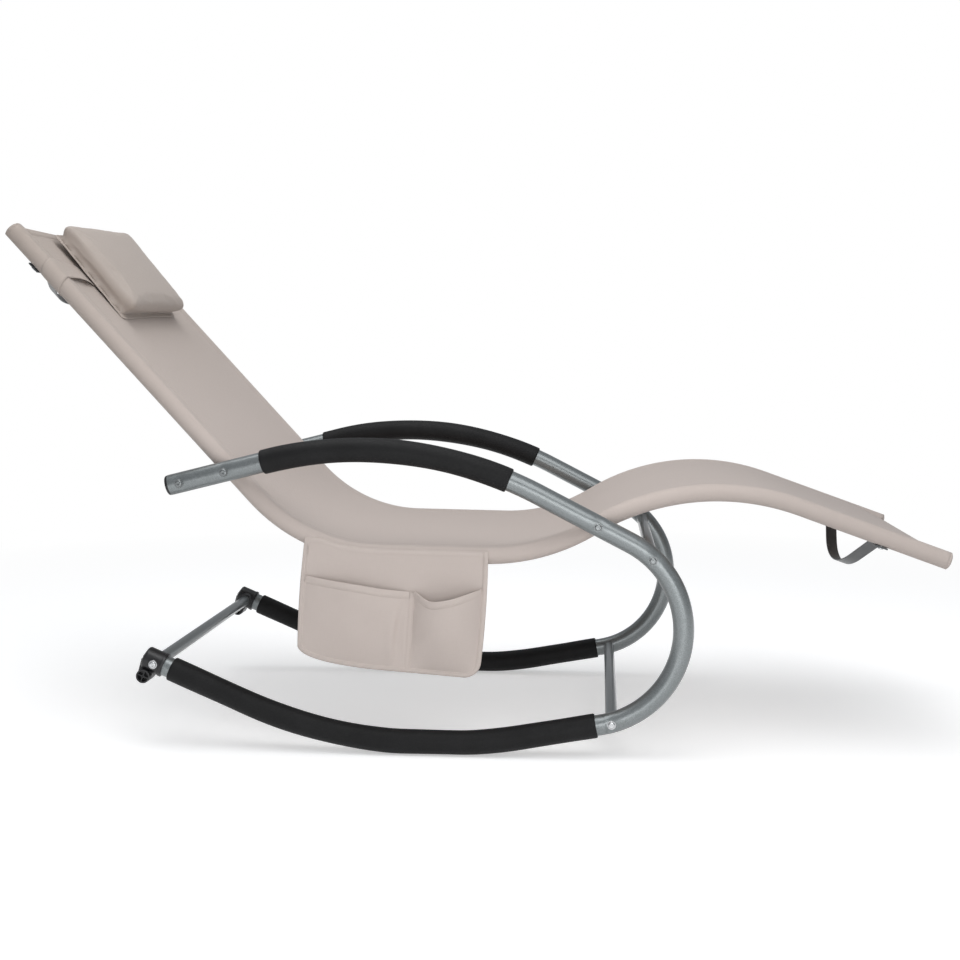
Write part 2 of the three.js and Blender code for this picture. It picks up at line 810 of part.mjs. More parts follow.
// A closed skin through rings of points that all have the same count, closed at both poles
function skin(rings) {
  const count = rings[0].length
  const corners = rings.flat()
  const faces = []
  for (let r = 0; r < rings.length - 1; r++) {
    for (let i = 0; i < count; i++) {
      const a = r * count + i
      const b = r * count + ((i + 1) % count)
      faces.push(a, b, b + count, a, b + count, a + count)
    }
  }
  for (const [ring, flip] of [[0, false], [rings.length - 1, true]]) {
    const pole = corners.length
    const middle = new THREE.Vector3()
    for (const corner of rings[ring]) middle.addScaledVector(corner, 1 / count)
    corners.push(middle)
    for (let i = 0; i < count; i++) {
      const a = ring * count + i
      const b = ring * count + ((i + 1) % count)
      faces.push(...(flip ? [a, b, pole] : [b, a, pole]))
    }
  }
  const geometry = new THREE.BufferGeometry().setFromPoints(corners)
  geometry.setIndex(faces)
  return geometry
}

// A rounded rectangle whose sides are drawn in between the corners
function cushionOutline(length, width, corner, pull) {
  const points = []
  const perSide = 10
  const ends = [[1, 1], [-1, 1], [-1, -1], [1, -1]]
  ends.forEach(([sx, sy], i) => {
    const centre = at(sx * (length / 2 - corner), sy * (width / 2 - corner))
    for (let k = 0; k <= 2; k++) {
      const angle = (Math.PI / 2) * (i + k / 2)
      points.push(centre.clone().add(at(corner * Math.cos(angle), corner * Math.sin(angle))))
    }
    const [nx, ny] = ends[(i + 1) % 4]
    const across = sx === nx
    const from = points[points.length - 1]
    const to = across
      ? at(from.x, ny * (width / 2 - corner))
      : at(nx * (length / 2 - corner), from.y)
    for (let k = 1; k < perSide; k++) {
      const share = k / perSide
      const inward = pull * Math.sin(Math.PI * share)
      const point = from.clone().lerp(to, share)
      if (across) point.x -= Math.sign(from.x) * inward
      else point.y -= Math.sign(from.y) * inward
      points.push(point)
    }
  })
  return points
}

// Headrest pillow: a boxed cushion with a sewn flange low on its sides
function makePillow() {
  const outline = cushionOutline(pillowLength, pillowWidth, pillowCorner, pillowPull)
  const crownAt = (share) => 1 - (1 - share) ** 2
  const levels = [
    { share: 0.35, height: -pillowBottomCrown * crownAt(0.65) },
    { share: 0.75, height: -pillowBottomCrown * crownAt(0.25) },
    { share: 1, grow: -pillowSeamFlange, height: 0 },
    { share: 1, grow: 0, height: pillowSeamHalf },
    { share: 1, grow: -pillowSeamFlange, height: 2 * pillowSeamHalf },
    { share: 1, grow: -pillowSeamFlange / 2, height: pillowDepth / 2 },
    { share: 1, grow: -pillowSeamFlange, height: pillowDepth - pillowCrown / 2 },
    { share: 1, grow: -pillowCrown, height: pillowDepth },
    { share: 0.75, height: pillowDepth + pillowCrown * crownAt(0.25) },
    { share: 0.35, height: pillowDepth + pillowCrown * crownAt(0.65) },
  ]
  const rings = levels.map(({ share, grow = -pillowCrown, height }) => {
    return outline.map((point) => {
      const sx = (pillowLength / 2 + grow) / (pillowLength / 2)
      const sy = (pillowWidth / 2 + grow) / (pillowWidth / 2)
      return new THREE.Vector3(point.x * share * sx, point.y * share * sy, height)
    })
  })
  const pillow = skin(rings)
  const shear = new THREE.Matrix4().makeShear(0, 0, -pillowSlant / pillowWidth, 0, 0, 0)
  pillow.applyMatrix4(shear)
  pillow.translate(-pillowLength / 2, pillowShift, 0)
  pillow.rotateY(radians(pillowPitch))
  pillow.translate(pillowLength / 2, 0, pillowRise)
  add('headrest_pillow', pillow.applyMatrix4(railFrame(pillowStation)), 'cloth')
}

// The band runs from the pillow's side out over the rail, back under the sling to the other
// rail and up to the pillow's far side, slanting towards the foot as it goes under
function makeBand() {
  const half = railSpacing / 2
  const hemCorner = hemRadius / Math.cos(Math.PI / railSides)
  const wrap = (hemCorner + gap) / Math.cos(Math.PI / (2 * bandSteps)) + bandThickness / 2
  const tuck = pillowWidth / 2 - bandTuck
  const route = [{ y: -tuck, z: bandRise - bandThickness, nz: 1, ny: 0, lean: bandLean }]
  const slopes = []
  for (let i = 0; i <= bandSteps; i++) {
    const angle = Math.PI / 2 + (Math.PI * i) / bandSteps
    slopes.push({ ny: Math.cos(angle), nz: Math.sin(angle) })
  }
  for (const { ny, nz } of slopes) route.push({ y: -half + wrap * ny, z: wrap * nz, ny, nz })
  for (const { ny, nz } of slopes.reverse()) route.push({ y: half - wrap * ny, z: wrap * nz, ny: -ny, nz })
  route.push({ y: tuck, z: bandRise - bandThickness, nz: 1, ny: 0, lean: bandLean })
  const rings = route.map(({ y, z, ny, nz, lean = 0 }) => {
    const underShare = lean > 0 ? 0 : (wrap - z) / (2 * wrap)
    const station = THREE.MathUtils.lerp(bandTopStation, bandBottomStation, underShare)
    const from = station - bandTopStation - bandWidth / 2 + lean
    const corner = (along, out) => {
      return new THREE.Vector3(along, y + ny * out, z + nz * out)
    }
    const outer = bandThickness / 2
    return [
      corner(from, outer),
      corner(from, -outer),
      corner(from + bandWidth, -outer),
      corner(from + bandWidth, outer),
    ]
  })
  add('headrest_band', skin(rings).applyMatrix4(railFrame(bandTopStation)), 'cloth')
}

// The pouch hangs upright outside the right rail, turned a little about Y. Its own
// drawing plane has X along its top towards the foot and Y up.
const pouchTurn = -radians(pouchTilt)
const pouchFace = railSpacing / 2 + hemRadius + gap
const pouchFront = onRail(pouchFrontStation).point.clone().add(at(0, pouchRise))
const pouchOrigin = pouchFront.clone().sub(at(pouchWidth, 0).rotateAround(at(0, 0), pouchTurn))

function hangOnPouch(geometry) {
  geometry.rotateX(Math.PI / 2)
  geometry.rotateY(-pouchTurn)
  return geometry.translate(pouchOrigin.x, -pouchFace, pouchOrigin.y)
}

// The height of the pouch's sewn top edge, which follows the rail, at a place along it
function pouchTopAt(x) {
  const start = pouchOrigin.clone()
  const along = at(x, 0).rotateAround(at(0, 0), pouchTurn)
  const wantedX = start.x + along.x
  let low = railRearBoltStation
  let high = railLength
  while (high - low > gap) {
    const middle = (low + high) / 2
    if (onRail(middle).point.x < wantedX) low = middle
    else high = middle
  }
  const railHeight = onRail(low).point.y + pouchRise
  return Math.min(0, (railHeight - start.y - along.y) * Math.cos(pouchTurn))
}

// The height of the pouch's bottom edge: a round front corner and a long, soft rear one
function pouchBottomAt(x) {
  const fromFront = Math.max(pouchWidth - x, 0)
  if (fromFront < pouchFrontCorner) {
    const left = pouchFrontCorner - fromFront
    return -pouchHeight + pouchFrontCorner - Math.sqrt(pouchFrontCorner ** 2 - left ** 2)
  }
  const share = 1 - Math.sqrt(THREE.MathUtils.clamp(x / pouchRearCurve, 0, 1))
  return -pouchHeight + 2 * share * (1 - share) * pouchRearSag + share ** 2 * pouchRearCorner
}

const pouchFlareAt = (height) => pouchFlare * Math.sin((Math.PI * -height) / pouchHeight)

function makePouchBack() {
  const edge = []
  for (let i = 0; i <= pouchTopSteps; i++) {
    const x = (pouchWidth * i) / pouchTopSteps
    edge.push(at(x, pouchTopAt(x)))
  }
  const frontCorner = -pouchHeight + pouchFrontCorner
  for (let i = 1; i <= pouchSideSteps; i++) {
    const height = (frontCorner * i) / pouchSideSteps
    edge.push(at(pouchWidth + pouchFlareAt(height), height))
  }
  for (let i = 1; i <= pouchCornerSteps; i++) {
    const angle = (Math.PI / 2) * (1 - i / pouchCornerSteps)
    const x = pouchWidth - pouchFrontCorner * (1 - Math.sin(angle))
    edge.push(at(x + pouchFlareAt(pouchBottomAt(x)), pouchBottomAt(x)))
  }
  for (let i = 0; i < pouchCornerSteps; i++) {
    const x = pouchRearCurve * (1 - i / pouchCornerSteps) ** 2
    edge.push(at(x, pouchBottomAt(x)))
  }
  for (let i = 0; i < pouchSideSteps; i++) {
    const height = (-pouchHeight + pouchRearCorner) * (1 - i / pouchSideSteps)
    edge.push(at(-pouchFlareAt(height), height))
  }
  const outline = new THREE.Shape(edge)
  const panel = new THREE.ExtrudeGeometry(outline, { depth: pouchCloth, bevelEnabled: false })
  add('pouch_back', hangOnPouch(panel), 'cloth')
}

// A pocket front: a sewn sheet that bulges away from the pouch's back towards its open top
function makePocket(name, from, to, drops, bulge) {
  const edge = new THREE.SplineCurve(drops.map((drop, i) => {
    return at(from + ((to - from) * i) / (drops.length - 1), -drop)
  }))
  const outerRow = []
  const innerRow = []
  for (let j = 0; j <= pocketRows; j++) {
    for (let i = 0; i <= pocketSteps; i++) {
      const across = i / pocketSteps
      const rise = j / pocketRows
      const mouth = edge.getPoint(across)
      const flat = THREE.MathUtils.lerp(from, to, across)
      const bottom = pouchBottomAt(THREE.MathUtils.clamp(flat, pocketSeam, pouchWidth - pocketSeam))
      const height = THREE.MathUtils.lerp(bottom, mouth.y, rise)
      const x = flat + (flat <= 0 ? -1 : flat >= pouchWidth ? 1 : 0) * pouchFlareAt(height)
      const swell = Math.sin(Math.PI * across) ** 0.75 * Math.sin((Math.PI / 2) * rise) ** 0.8
      const depth = pouchCloth + gap + bulge * swell
      outerRow.push(new THREE.Vector3(x, height, depth + pocketCloth))
      innerRow.push(new THREE.Vector3(x, height, depth))
    }
  }
  const corners = [...outerRow, ...innerRow]
  const faces = []
  const row = pocketSteps + 1
  const inner = outerRow.length
  for (let j = 0; j < pocketRows; j++) {
    for (let i = 0; i < pocketSteps; i++) {
      const a = j * row + i
      const b = a + 1
      const c = b + row
      const d = a + row
      faces.push(a, b, c, a, c, d)
      faces.push(inner + a, inner + c, inner + b, inner + a, inner + d, inner + c)
    }
  }
  const rim = []
  for (let i = 0; i < pocketSteps; i++) rim.push(i)
  for (let j = 0; j < pocketRows; j++) rim.push(j * row + pocketSteps)
  for (let i = pocketSteps; i > 0; i--) rim.push(pocketRows * row + i)
  for (let j = pocketRows; j > 0; j--) rim.push(j * row)
  rim.forEach((a, k) => {
    const b = rim[(k + 1) % rim.length]
    faces.push(a, inner + a, inner + b, a, inner + b, b)
  })
  const pocket = new THREE.BufferGeometry().setFromPoints(corners)
  pocket.setIndex(faces)
  add(name, hangOnPouch(pocket), 'cloth')
}

const sides = [['right', -1], ['left', 1]]
for (const [label, side] of sides) {
  makeHoop(side, label)
  makeRocker(side, label)
  makeFoam(side, label)
  makeTailFitting(side, label)
  makeBolts(side, label)
  makeRail(side, label)
}
makeBar('rear_top_bar', rearBarStation, barHalf, rearBarWall)
makeBar('front_top_bar', frontBarStation, barHalf, frontBarWall)
makeBar('front_low_bar', lowBarStation, barHalf, frontBarWall)
makeBar('rear_low_bar', tailStation, fittingFace - 2 * gap, rearBarWall)
makeSling()
makeBow('head_bow', headBowStation)
makeBow('foot_bow', footBowStation)
makePillow()
makeBand()
makePouchBack()
makePocket('large_pocket', 0, pocketSplit - pocketSeam, largePocketDrops, largePocketBulge)
makePocket('small_pocket', pocketSplit + pocketSeam, pouchWidth, smallPocketDrops, smallPocketBulge)

// The origin is under the middle of the whole chair
const bounds = new THREE.Box3().setFromObject(chair, true)
chair.position.x = -(bounds.min.x + bounds.max.x) / 2

export default chair
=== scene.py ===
import math

import bmesh
import bpy
import numpy as np
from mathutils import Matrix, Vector


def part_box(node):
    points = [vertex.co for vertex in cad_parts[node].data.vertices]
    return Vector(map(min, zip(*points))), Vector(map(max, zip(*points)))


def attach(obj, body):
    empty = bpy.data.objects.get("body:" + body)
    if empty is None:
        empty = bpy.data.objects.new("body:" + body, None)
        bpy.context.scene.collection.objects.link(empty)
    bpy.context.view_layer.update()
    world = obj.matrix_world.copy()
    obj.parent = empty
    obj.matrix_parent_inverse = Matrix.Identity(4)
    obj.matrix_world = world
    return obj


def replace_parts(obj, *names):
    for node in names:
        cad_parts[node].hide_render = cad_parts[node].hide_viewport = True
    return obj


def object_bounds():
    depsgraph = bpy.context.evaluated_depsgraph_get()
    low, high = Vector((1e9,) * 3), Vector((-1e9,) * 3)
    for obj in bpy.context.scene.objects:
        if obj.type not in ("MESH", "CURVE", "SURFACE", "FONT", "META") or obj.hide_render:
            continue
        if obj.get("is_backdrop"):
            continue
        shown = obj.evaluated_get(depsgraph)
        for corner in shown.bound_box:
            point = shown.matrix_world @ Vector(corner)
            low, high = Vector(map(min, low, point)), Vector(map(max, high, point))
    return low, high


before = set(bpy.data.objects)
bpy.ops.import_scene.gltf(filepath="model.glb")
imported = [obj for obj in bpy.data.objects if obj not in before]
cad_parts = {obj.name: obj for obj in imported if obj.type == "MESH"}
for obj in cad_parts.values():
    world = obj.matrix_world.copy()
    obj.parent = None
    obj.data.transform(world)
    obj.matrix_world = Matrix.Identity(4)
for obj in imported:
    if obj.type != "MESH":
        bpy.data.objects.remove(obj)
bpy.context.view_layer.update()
scene = bpy.context.scene

# Millimetres here are turned into metres as each mesh is made.
MM = 0.001
SIDES = (("right", -1), ("left", 1))


def clamp(value, low=0.0, high=1.0):
    return min(max(value, low), high)


def ease(t):
    """A smooth step from 0 to 1."""
    return t * t * (3 - 2 * t)


# ---- materials
class Net:
    """The node tree of a material or a world, written as calls."""

    def __init__(self, name, group=bpy.data.materials):
        self.owner = group.new(name)
        self.owner.use_nodes = True
        self.tree = self.owner.node_tree
        self.tree.nodes.clear()

    def add(self, kind, inputs=None, **props):
        node = self.tree.nodes.new("ShaderNode" + kind)
        for key, value in props.items():
            setattr(node, key, value)
        for key, value in (inputs or {}).items():
            if isinstance(value, bpy.types.NodeSocket):
                self.tree.links.new(value, node.inputs[key])
            else:
                node.inputs[key].default_value = value
        return node

    def place(self):
        return self.add("TexCoord").outputs["Object"]

    def math(self, operation, a, b=None, c=None, clamp=False):
        inputs = {k: v for k, v in enumerate((a, b, c)) if v is not None}
        return self.add("Math", inputs, operation=operation, use_clamp=clamp).outputs[0]

    def mix(self, factor, a, b, blend="MIX"):
        inputs = {0: factor, 6: a, 7: b}
        return self.add("Mix", inputs, data_type="RGBA", blend_type=blend).outputs[2]

    def ramp(self, value, low, high, to_low=0.0, to_high=1.0):
        inputs = {0: value, 1: low, 2: high, 3: to_low, 4: to_high}
        return self.add("MapRange", inputs).outputs[0]

    def noise(self, where, scale, detail=2.0, rough=0.5):
        inputs = {"Vector": where, "Scale": scale, "Detail": detail, "Roughness": rough}
        return self.add("TexNoise", inputs).outputs[0]

    def bump(self, strength, distance, height):
        inputs = {"Strength": strength, "Distance": distance, "Height": height}
        return self.add("Bump", inputs).outputs[0]

    def finish(self, inputs):
        shader = self.add("BsdfPrincipled", inputs)
        self.add("OutputMaterial", {"Surface": shader.outputs[0]})
        return self.owner


def srgb(r, g, b):
    def linear(c):
        c /= 255
        return c / 12.92 if c <= 0.04045 else ((c + 0.055) / 1.055) ** 2.4

    return (linear(r), linear(g), linear(b), 1.0)


def paint_material(name, low, high, coat=0.5, metal=0.72):
    net = Net(name)
    place = net.place()
    flake = net.noise(place, 900, 1)
    cloud = net.noise(place, 14, 3)
    base = net.mix(net.ramp(flake, 0.3, 0.7), srgb(*low), srgb(*high))
    base = net.mix(net.ramp(cloud, 0.3, 0.7, 0.0, 0.25), base, srgb(*low))
    rough = net.ramp(flake, 0.25, 0.75, 0.3, 0.44)
    return net.finish({
        "Base Color": base, "Metallic": metal, "Roughness": rough,
        "Normal": net.bump(0.12, 0.0003, flake), "Coat Weight": coat, "Coat Roughness": 0.1,
    })


def foam_material():
    net = Net("foam")
    place = net.place()
    cells = net.add("TexVoronoi", {"Vector": place, "Scale": 950.0}).outputs["Distance"]
    grain = net.noise(place, 420, 4, 0.6)
    wear = net.noise(place, 22, 3)
    base = net.mix(net.ramp(wear, 0.35, 0.7), srgb(12, 12, 13), srgb(20, 20, 21))
    base = net.mix(net.ramp(cells, 0.0, 0.5, 0.5, 0.0), base, srgb(6, 6, 7))
    height = net.math("ADD", net.math("MULTIPLY", grain, 0.6), net.math("MULTIPLY", cells, 0.7))
    rough = net.ramp(grain, 0.3, 0.7, 0.5, 0.68)
    return net.finish({
        "Base Color": base, "Roughness": rough, "Normal": net.bump(0.35, 0.0006, height),
        "Specular IOR Level": 0.24, "Sheen Weight": 0.02, "Sheen Roughness": 0.5,
    })


def plastic_material():
    net = Net("plastic")
    place = net.place()
    grain = net.noise(place, 1300, 2)
    cloud = net.noise(place, 60, 2)
    base = net.mix(net.ramp(cloud, 0.3, 0.7), srgb(20, 20, 22), srgb(30, 30, 32))
    rough = net.ramp(cloud, 0.3, 0.7, 0.3, 0.46)
    bump = net.bump(0.15, 0.0003, grain)
    return net.finish({"Base Color": base, "Roughness": rough, "Normal": bump})


def zinc_material(name, low, high, metal=0.95):
    net = Net(name)
    place = net.place()
    grain = net.noise(place, 700, 3)
    base = net.mix(net.ramp(grain, 0.3, 0.7), srgb(*low), srgb(*high))
    rough = net.ramp(grain, 0.3, 0.7, 0.2, 0.34)
    bump = net.bump(0.08, 0.0002, grain)
    return net.finish({
        "Base Color": base, "Metallic": metal, "Roughness": rough, "Normal": bump,
    })


def cloth_material(name, colour, pitch=1.25, bump=0.3, painted_end_shade=0.0):
    """Plain-woven coated cloth: threads over and under each other, with slubs and soft clouds."""
    net = Net(name)
    uv = net.add("TexCoord").outputs["UV"]
    split = net.add("SeparateXYZ", {0: uv})
    turns = math.pi / (pitch * MM)
    warp = net.math("SINE", net.math("MULTIPLY", split.outputs[0], turns))
    weft = net.math("SINE", net.math("MULTIPLY", split.outputs[1], turns))
    cross = net.math("MULTIPLY", warp, weft)
    over = net.ramp(cross, -0.7, 0.7)
    threads = net.math("MULTIPLY", net.math("ABSOLUTE", warp), net.math("ABSOLUTE", weft))
    place = net.place()
    slubs = [
        net.noise(net.add("Mapping", {0: uv, 3: scale}).outputs[0], 1.0, 2)
        for scale in ((60.0, 900.0, 1.0), (900.0, 60.0, 1.0))
    ]
    slub = net.math("ADD", *slubs)
    cloud = net.noise(place, 6, 3)
    dark, dusty = ((*(c * share for c in colour[:3]), 1.0) for share in (0.9, 0.95))
    base = net.mix(net.ramp(threads, 0.0, 0.8), dark, colour)
    base = net.mix(net.ramp(slub, 0.75, 1.25, 0.0, 0.5), base, dark)
    base = net.mix(net.ramp(cloud, 0.35, 0.7, 0.0, 0.35), base, dusty)
    if painted_end_shade:
        # painted shade: a little darker towards both ends, and warmer at the head, where less light
        # reaches
        along = net.add("SeparateXYZ", {0: place}).outputs[0]
        for low, high, at_low, at_high, tone in (
            (-0.7, -0.4, painted_end_shade, 0.0, (0.79, 0.78, 0.755, 1.0)),
            (0.25, 0.55, 0.0, painted_end_shade, (0.9, 0.9, 0.9, 1.0)),
        ):
            base = net.mix(net.ramp(along, low, high, at_low, at_high), base, tone, "MULTIPLY")
    height = net.math("ADD", net.math("MULTIPLY", threads, 0.7), net.math("MULTIPLY", over, 0.3))
    rough = net.ramp(slub, 0.8, 1.2, 0.72, 0.86)
    return net.finish({
        "Base Color": base, "Roughness": rough, "Normal": net.bump(bump, 0.0004, height),
        "Sheen Weight": 0.12, "Sheen Roughness": 0.4, "Specular IOR Level": 0.35,
    })


def thread_material():
    net = Net("thread")
    place = net.place()
    twist = net.noise(place, 1500, 2)
    base = net.mix(net.ramp(twist, 0.3, 0.7), srgb(158, 145, 134), srgb(186, 174, 164))
    return net.finish({"Base Color": base, "Roughness": 0.7, "Sheen Weight": 0.2})


paint = paint_material("paint", (112, 117, 118), (141, 146, 147))
# painted shade: the bows get a darker, duller copy of the frame paint, for the shade they lie in
# under the sling
painted_shade_bow_paint = paint_material("painted_shade_bow_paint", (58, 60, 61), (76, 78, 80), 0.0, 0.35)
foam = foam_material()
plastic = plastic_material()
zinc = zinc_material("zinc", (176, 178, 180), (206, 207, 208))
dull_zinc = zinc_material("dull_zinc", (112, 116, 117), (140, 143, 144), 0.8)
# the sling's cloth carries painted shade towards its ends
cloth = cloth_material("cloth", srgb(196, 184, 177), painted_end_shade=1.0)
pillow_cloth = cloth_material("pillow_cloth", srgb(181, 170, 162), pitch=1.0, bump=0.2)
pouch_cloth = cloth_material("pouch_cloth", srgb(200, 188, 181), pitch=1.4, bump=0.4)
thread = thread_material()


# ---- mesh making
def put(name, mesh, material, body):
    """The object of a mesh, on its body and in its material's slot."""
    mesh.materials.append(material)
    obj = bpy.data.objects.new(name, mesh)
    scene.collection.objects.link(obj)
    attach(obj, body)
    return obj


def build(name, points, faces, material, body="frame", uv=None, sharp=40, outward=True):
    """A mesh object from points in millimetres. uv holds one pair for each face corner."""
    mesh = bpy.data.meshes.new(name)
    mesh.from_pydata((np.asarray(points, float) * MM).tolist(), [], faces)
    if uv is not None:
        flat = (np.asarray(uv, float) * MM).ravel()
        mesh.uv_layers.new(name="UVMap").data.foreach_set("uv", flat)
    if outward:
        work = bmesh.new()
        work.from_mesh(mesh)
        bmesh.ops.recalc_face_normals(work, faces=work.faces)
        work.to_mesh(mesh)
        work.free()
    mesh.shade_smooth()
    if sharp:
        mesh.set_sharp_from_angle(angle=math.radians(sharp))
    return put(name, mesh, material, body)


def loft(name, rings, material, body="frame", wrap=True, caps=True, sharp=40, outward=True):
    """A skin through rings of points that all have the same count."""
    rings = np.asarray(rings, float)
    count, around = rings.shape[:2]
    columns = around if wrap else around - 1
    steps = np.linalg.norm(np.diff(rings, axis=0), axis=2)
    along = np.concatenate([[0.0], np.cumsum(steps.mean(1))])
    loop = np.concatenate([rings, rings[:, :1]], 1) if wrap else rings
    widths = np.linalg.norm(np.diff(loop, axis=1), axis=2).mean(0)
    across = np.concatenate([[0.0], np.cumsum(widths)])
    faces, uv = [], []
    for i in range(count - 1):
        here, there = i * around, (i + 1) * around
        for j in range(columns):
            k = (j + 1) % around
            faces.append((here + j, here + k, there + k, there + j))
            uv += [(along[i], across[j]), (along[i], across[j + 1])]
            uv += [(along[i + 1], across[j + 1]), (along[i + 1], across[j])]
    if caps and wrap:
        faces.append(tuple(range(around)))
        faces.append(tuple((count - 1) * around + j for j in range(around)))
        uv += [(0.0, a) for a in across[:-1]] + [(along[-1], a) for a in across[:-1]]
    return build(name, rings.reshape(-1, 3), faces, material, body, uv, sharp, outward)


def skin(name, rings, material, body, thickness):
    """An open sheet of cloth, with half of its thickness to each side."""
    piece = loft(name, rings, material, body, wrap=False, caps=False, sharp=0, outward=False)
    solid = piece.modifiers.new("thick", "SOLIDIFY")
    solid.thickness = thickness * MM
    solid.offset = 0.0
    return piece


def merged(name, objects, material):
    """Joins objects of one material into one piece of the frame."""
    work = bmesh.new()
    for obj in objects:
        work.from_mesh(obj.data)
        bpy.data.objects.remove(obj)
    mesh = bpy.data.meshes.new(name)
    work.to_mesh(mesh)
    work.free()
    return put(name, mesh, material, "frame")


def unit(vectors):
    return vectors / np.linalg.norm(vectors, axis=-1, keepdims=True)


def stitches(name, lines, body="frame", material=None, pitch=4.6, length=3.2, width=0.75, rise=0.4):
    """Short raised threads; each line is (points, outward directions)."""
    verts, faces = [], []
    for points, outs in lines:
        points = np.asarray(points, float)
        outs = np.broadcast_to(np.asarray(outs, float), points.shape)
        run = np.concatenate([[0.0], np.cumsum(np.linalg.norm(np.diff(points, axis=0), axis=1))])

        def read(values, at):
            return np.array([np.interp(at, run, column) for column in values.T]).T

        where = np.arange(pitch / 2, run[-1] - length / 2, pitch)
        ahead = unit(read(points, where + 0.7) - read(points, where - 0.7))
        out = unit(read(outs, where))
        for m, a, o, c in zip(read(points, where), ahead, out, np.cross(ahead, out)):
            base = len(verts)
            for t, w in ((-0.5, 0.4), (-0.3, 1.0), (0.3, 1.0), (0.5, 0.4)):
                for u, h in ((-0.5, -0.1), (-0.25, 0.9), (0.25, 0.9), (0.5, -0.1)):
                    verts.append(m + a * t * length + c * u * width * w + o * h * rise * w)
            for i in range(3):
                for j in range(3):
                    k = base + 4 * i + j
                    faces.append((k, k + 1, k + 5, k + 4))
    return build(name, verts, faces, material or thread, body, sharp=0)


# ---- centrelines, as in the CAD
class Path:
    """Straight lengths and (radius, sweep) arcs in the X-Z plane, from a start and a heading."""

    def __init__(self, legs, heading, start=(0.0, 0.0)):
        self.legs = []
        station, place = 0.0, np.array(start, float)
        for leg in legs:
            bend = 0.0
            length = leg
            if isinstance(leg, tuple):
                length = leg[0] * math.radians(abs(leg[1]))
                bend = math.copysign(1 / leg[0], leg[1])
            self.legs.append((station, length, place, heading, bend))
            place, heading = self.step(place, heading, bend, length)
            station += length
        self.length = station

    @staticmethod
    def step(place, heading, bend, along):
        if not bend:
            return place + along * np.array([math.cos(heading), math.sin(heading)]), heading
        turned = heading + bend * along
        x, z = math.sin(turned) - math.sin(heading), math.cos(heading) - math.cos(turned)
        return place + np.array([x, z]) / bend, turned

    def at(self, station):
        for leg in self.legs:
            if station < leg[0] + leg[1] or leg is self.legs[-1]:
                return self.step(leg[2], leg[3], leg[4], station - leg[0])

    def frame(self, station, y=0.0):
        """The point there, and the directions along the path and square to it."""
        (x, z), heading = self.at(station)
        along = np.array([math.cos(heading), 0.0, math.sin(heading)])
        square = np.array([-math.sin(heading), 0.0, math.cos(heading)])
        return np.array([x, y, z]), along, square


def centre(node):
    low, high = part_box(node)
    return (np.array(low) + np.array(high)) / 2 / MM


FRAME_LEGS = [
    173.0, (706.0, 18.4), (362.0, 5.0), 84.0, (362.0, 5.0), (706.0, 5.4), 127.0,
    (151.0, 142.2), 157.0, (597.5, 41.4), 159.5,
]
RAIL_LEGS = [564.0, (267.0, 46.6), 168.0, (307.5, 32.2), 6.0, (368.0, -51.1), 230.5]
RAIL_HEADING = math.radians(-47.506)
TILT = math.radians(-23.4)
CONTACT = Path(FRAME_LEGS[:3], 0.0).length + 42.0
LOW_BAR, FRONT_BAR, FRONT_RAIL, REAR_RAIL, REAR_BAR = 283.0, 600.0, 697.0, 1298.0, 1371.0
TAIL_STATION = -441.0
SPLICE = 274.0  # where the hoop meets the rocker tube
BOLT_SEAT, TAIL_SEAT = 16.3, 19.6  # from a side frame's middle out to the bolts' washers
REAR_PIVOT = 507.5  # along the rail, where the rear bolt holds it
HALF = 288.0  # from the middle to a side frame
RAIL = 254.0  # from the middle to a rail
TUBE_RADIUS = 16.0
FOAM_RADIUS = 19.0
RAIL_RADIUS = 12.2
HEM_RADIUS = 13.0
ACROSS = np.array([0.0, 1.0, 0.0])


def placed(legs, heading, station, node):
    """The path of these legs that has a node's middle at a station."""
    (x, z), _ = Path(legs, heading).at(station)
    middle = centre(node)
    return Path(legs, heading, (middle[0] - x, middle[2] - z))


side_path = placed(FRAME_LEGS, TILT, CONTACT + LOW_BAR, "right_low_bar_bolt")
rail_path = placed(RAIL_LEGS, RAIL_HEADING, REAR_PIVOT, "right_rear_rail_bolt")
RAIL_LENGTH = rail_path.length


def on_side(station, y=0.0):
    return side_path.frame(CONTACT + station, y)


def stations(low, high, step, extra=()):
    count = max(2, int(math.ceil((high - low) / step)) + 1)
    found = set(np.linspace(low, high, count).tolist()) | {e for e in extra if low < e < high}
    return sorted(found)


def tube_rings(frames, radius, sides=32):
    """Round rings; frames are (centre, along, square) and radius is a number or one for each."""
    radii = np.broadcast_to(radius, (len(frames),))
    angle = 2 * math.pi * np.arange(sides)[:, None] / sides
    return np.array([
        middle + r * (np.cos(angle) * square + np.sin(angle) * ACROSS)
        for (middle, _, square), r in zip(frames, radii)
    ])


def turn(name, profile, middle, axis, material, sides=32, sharp=35):
    """A turned piece: profile has (radius, height along axis) or (radius, height, 'hex')."""
    axis = unit(np.asarray(axis, float))
    u = unit(np.cross(axis, [0.0, 0.0, 1.0] if abs(axis[2]) < 0.9 else [1.0, 0.0, 0.0]))
    v = np.cross(axis, u)
    angle = 2 * math.pi * np.arange(sides) / sides
    rings = []
    for row in profile:
        r = np.full(sides, float(row[0]))
        if len(row) > 2:
            r = row[0] / np.cos((angle % (math.pi / 3)) - math.pi / 6)
        ring = np.asarray(middle) + row[1] * axis
        rings.append(ring + (r * np.cos(angle))[:, None] * u + (r * np.sin(angle))[:, None] * v)
    return loft(name, rings, material, sharp=sharp)


def rounded(profile, radii):
    """A (radius, height) profile, rounded at the corners that radii has a radius for."""
    out = []
    points = np.array(profile, float)
    for i, here in enumerate(points):
        if i not in radii:
            out.append(here)
            continue
        a, b = (here + unit(points[k] - here) * radii[i] for k in (i - 1, i + 1))
        for t in np.linspace(0, 1, 5):
            out.append((1 - t) ** 2 * a + 2 * t * (1 - t) * here + t * t * b)
    return out


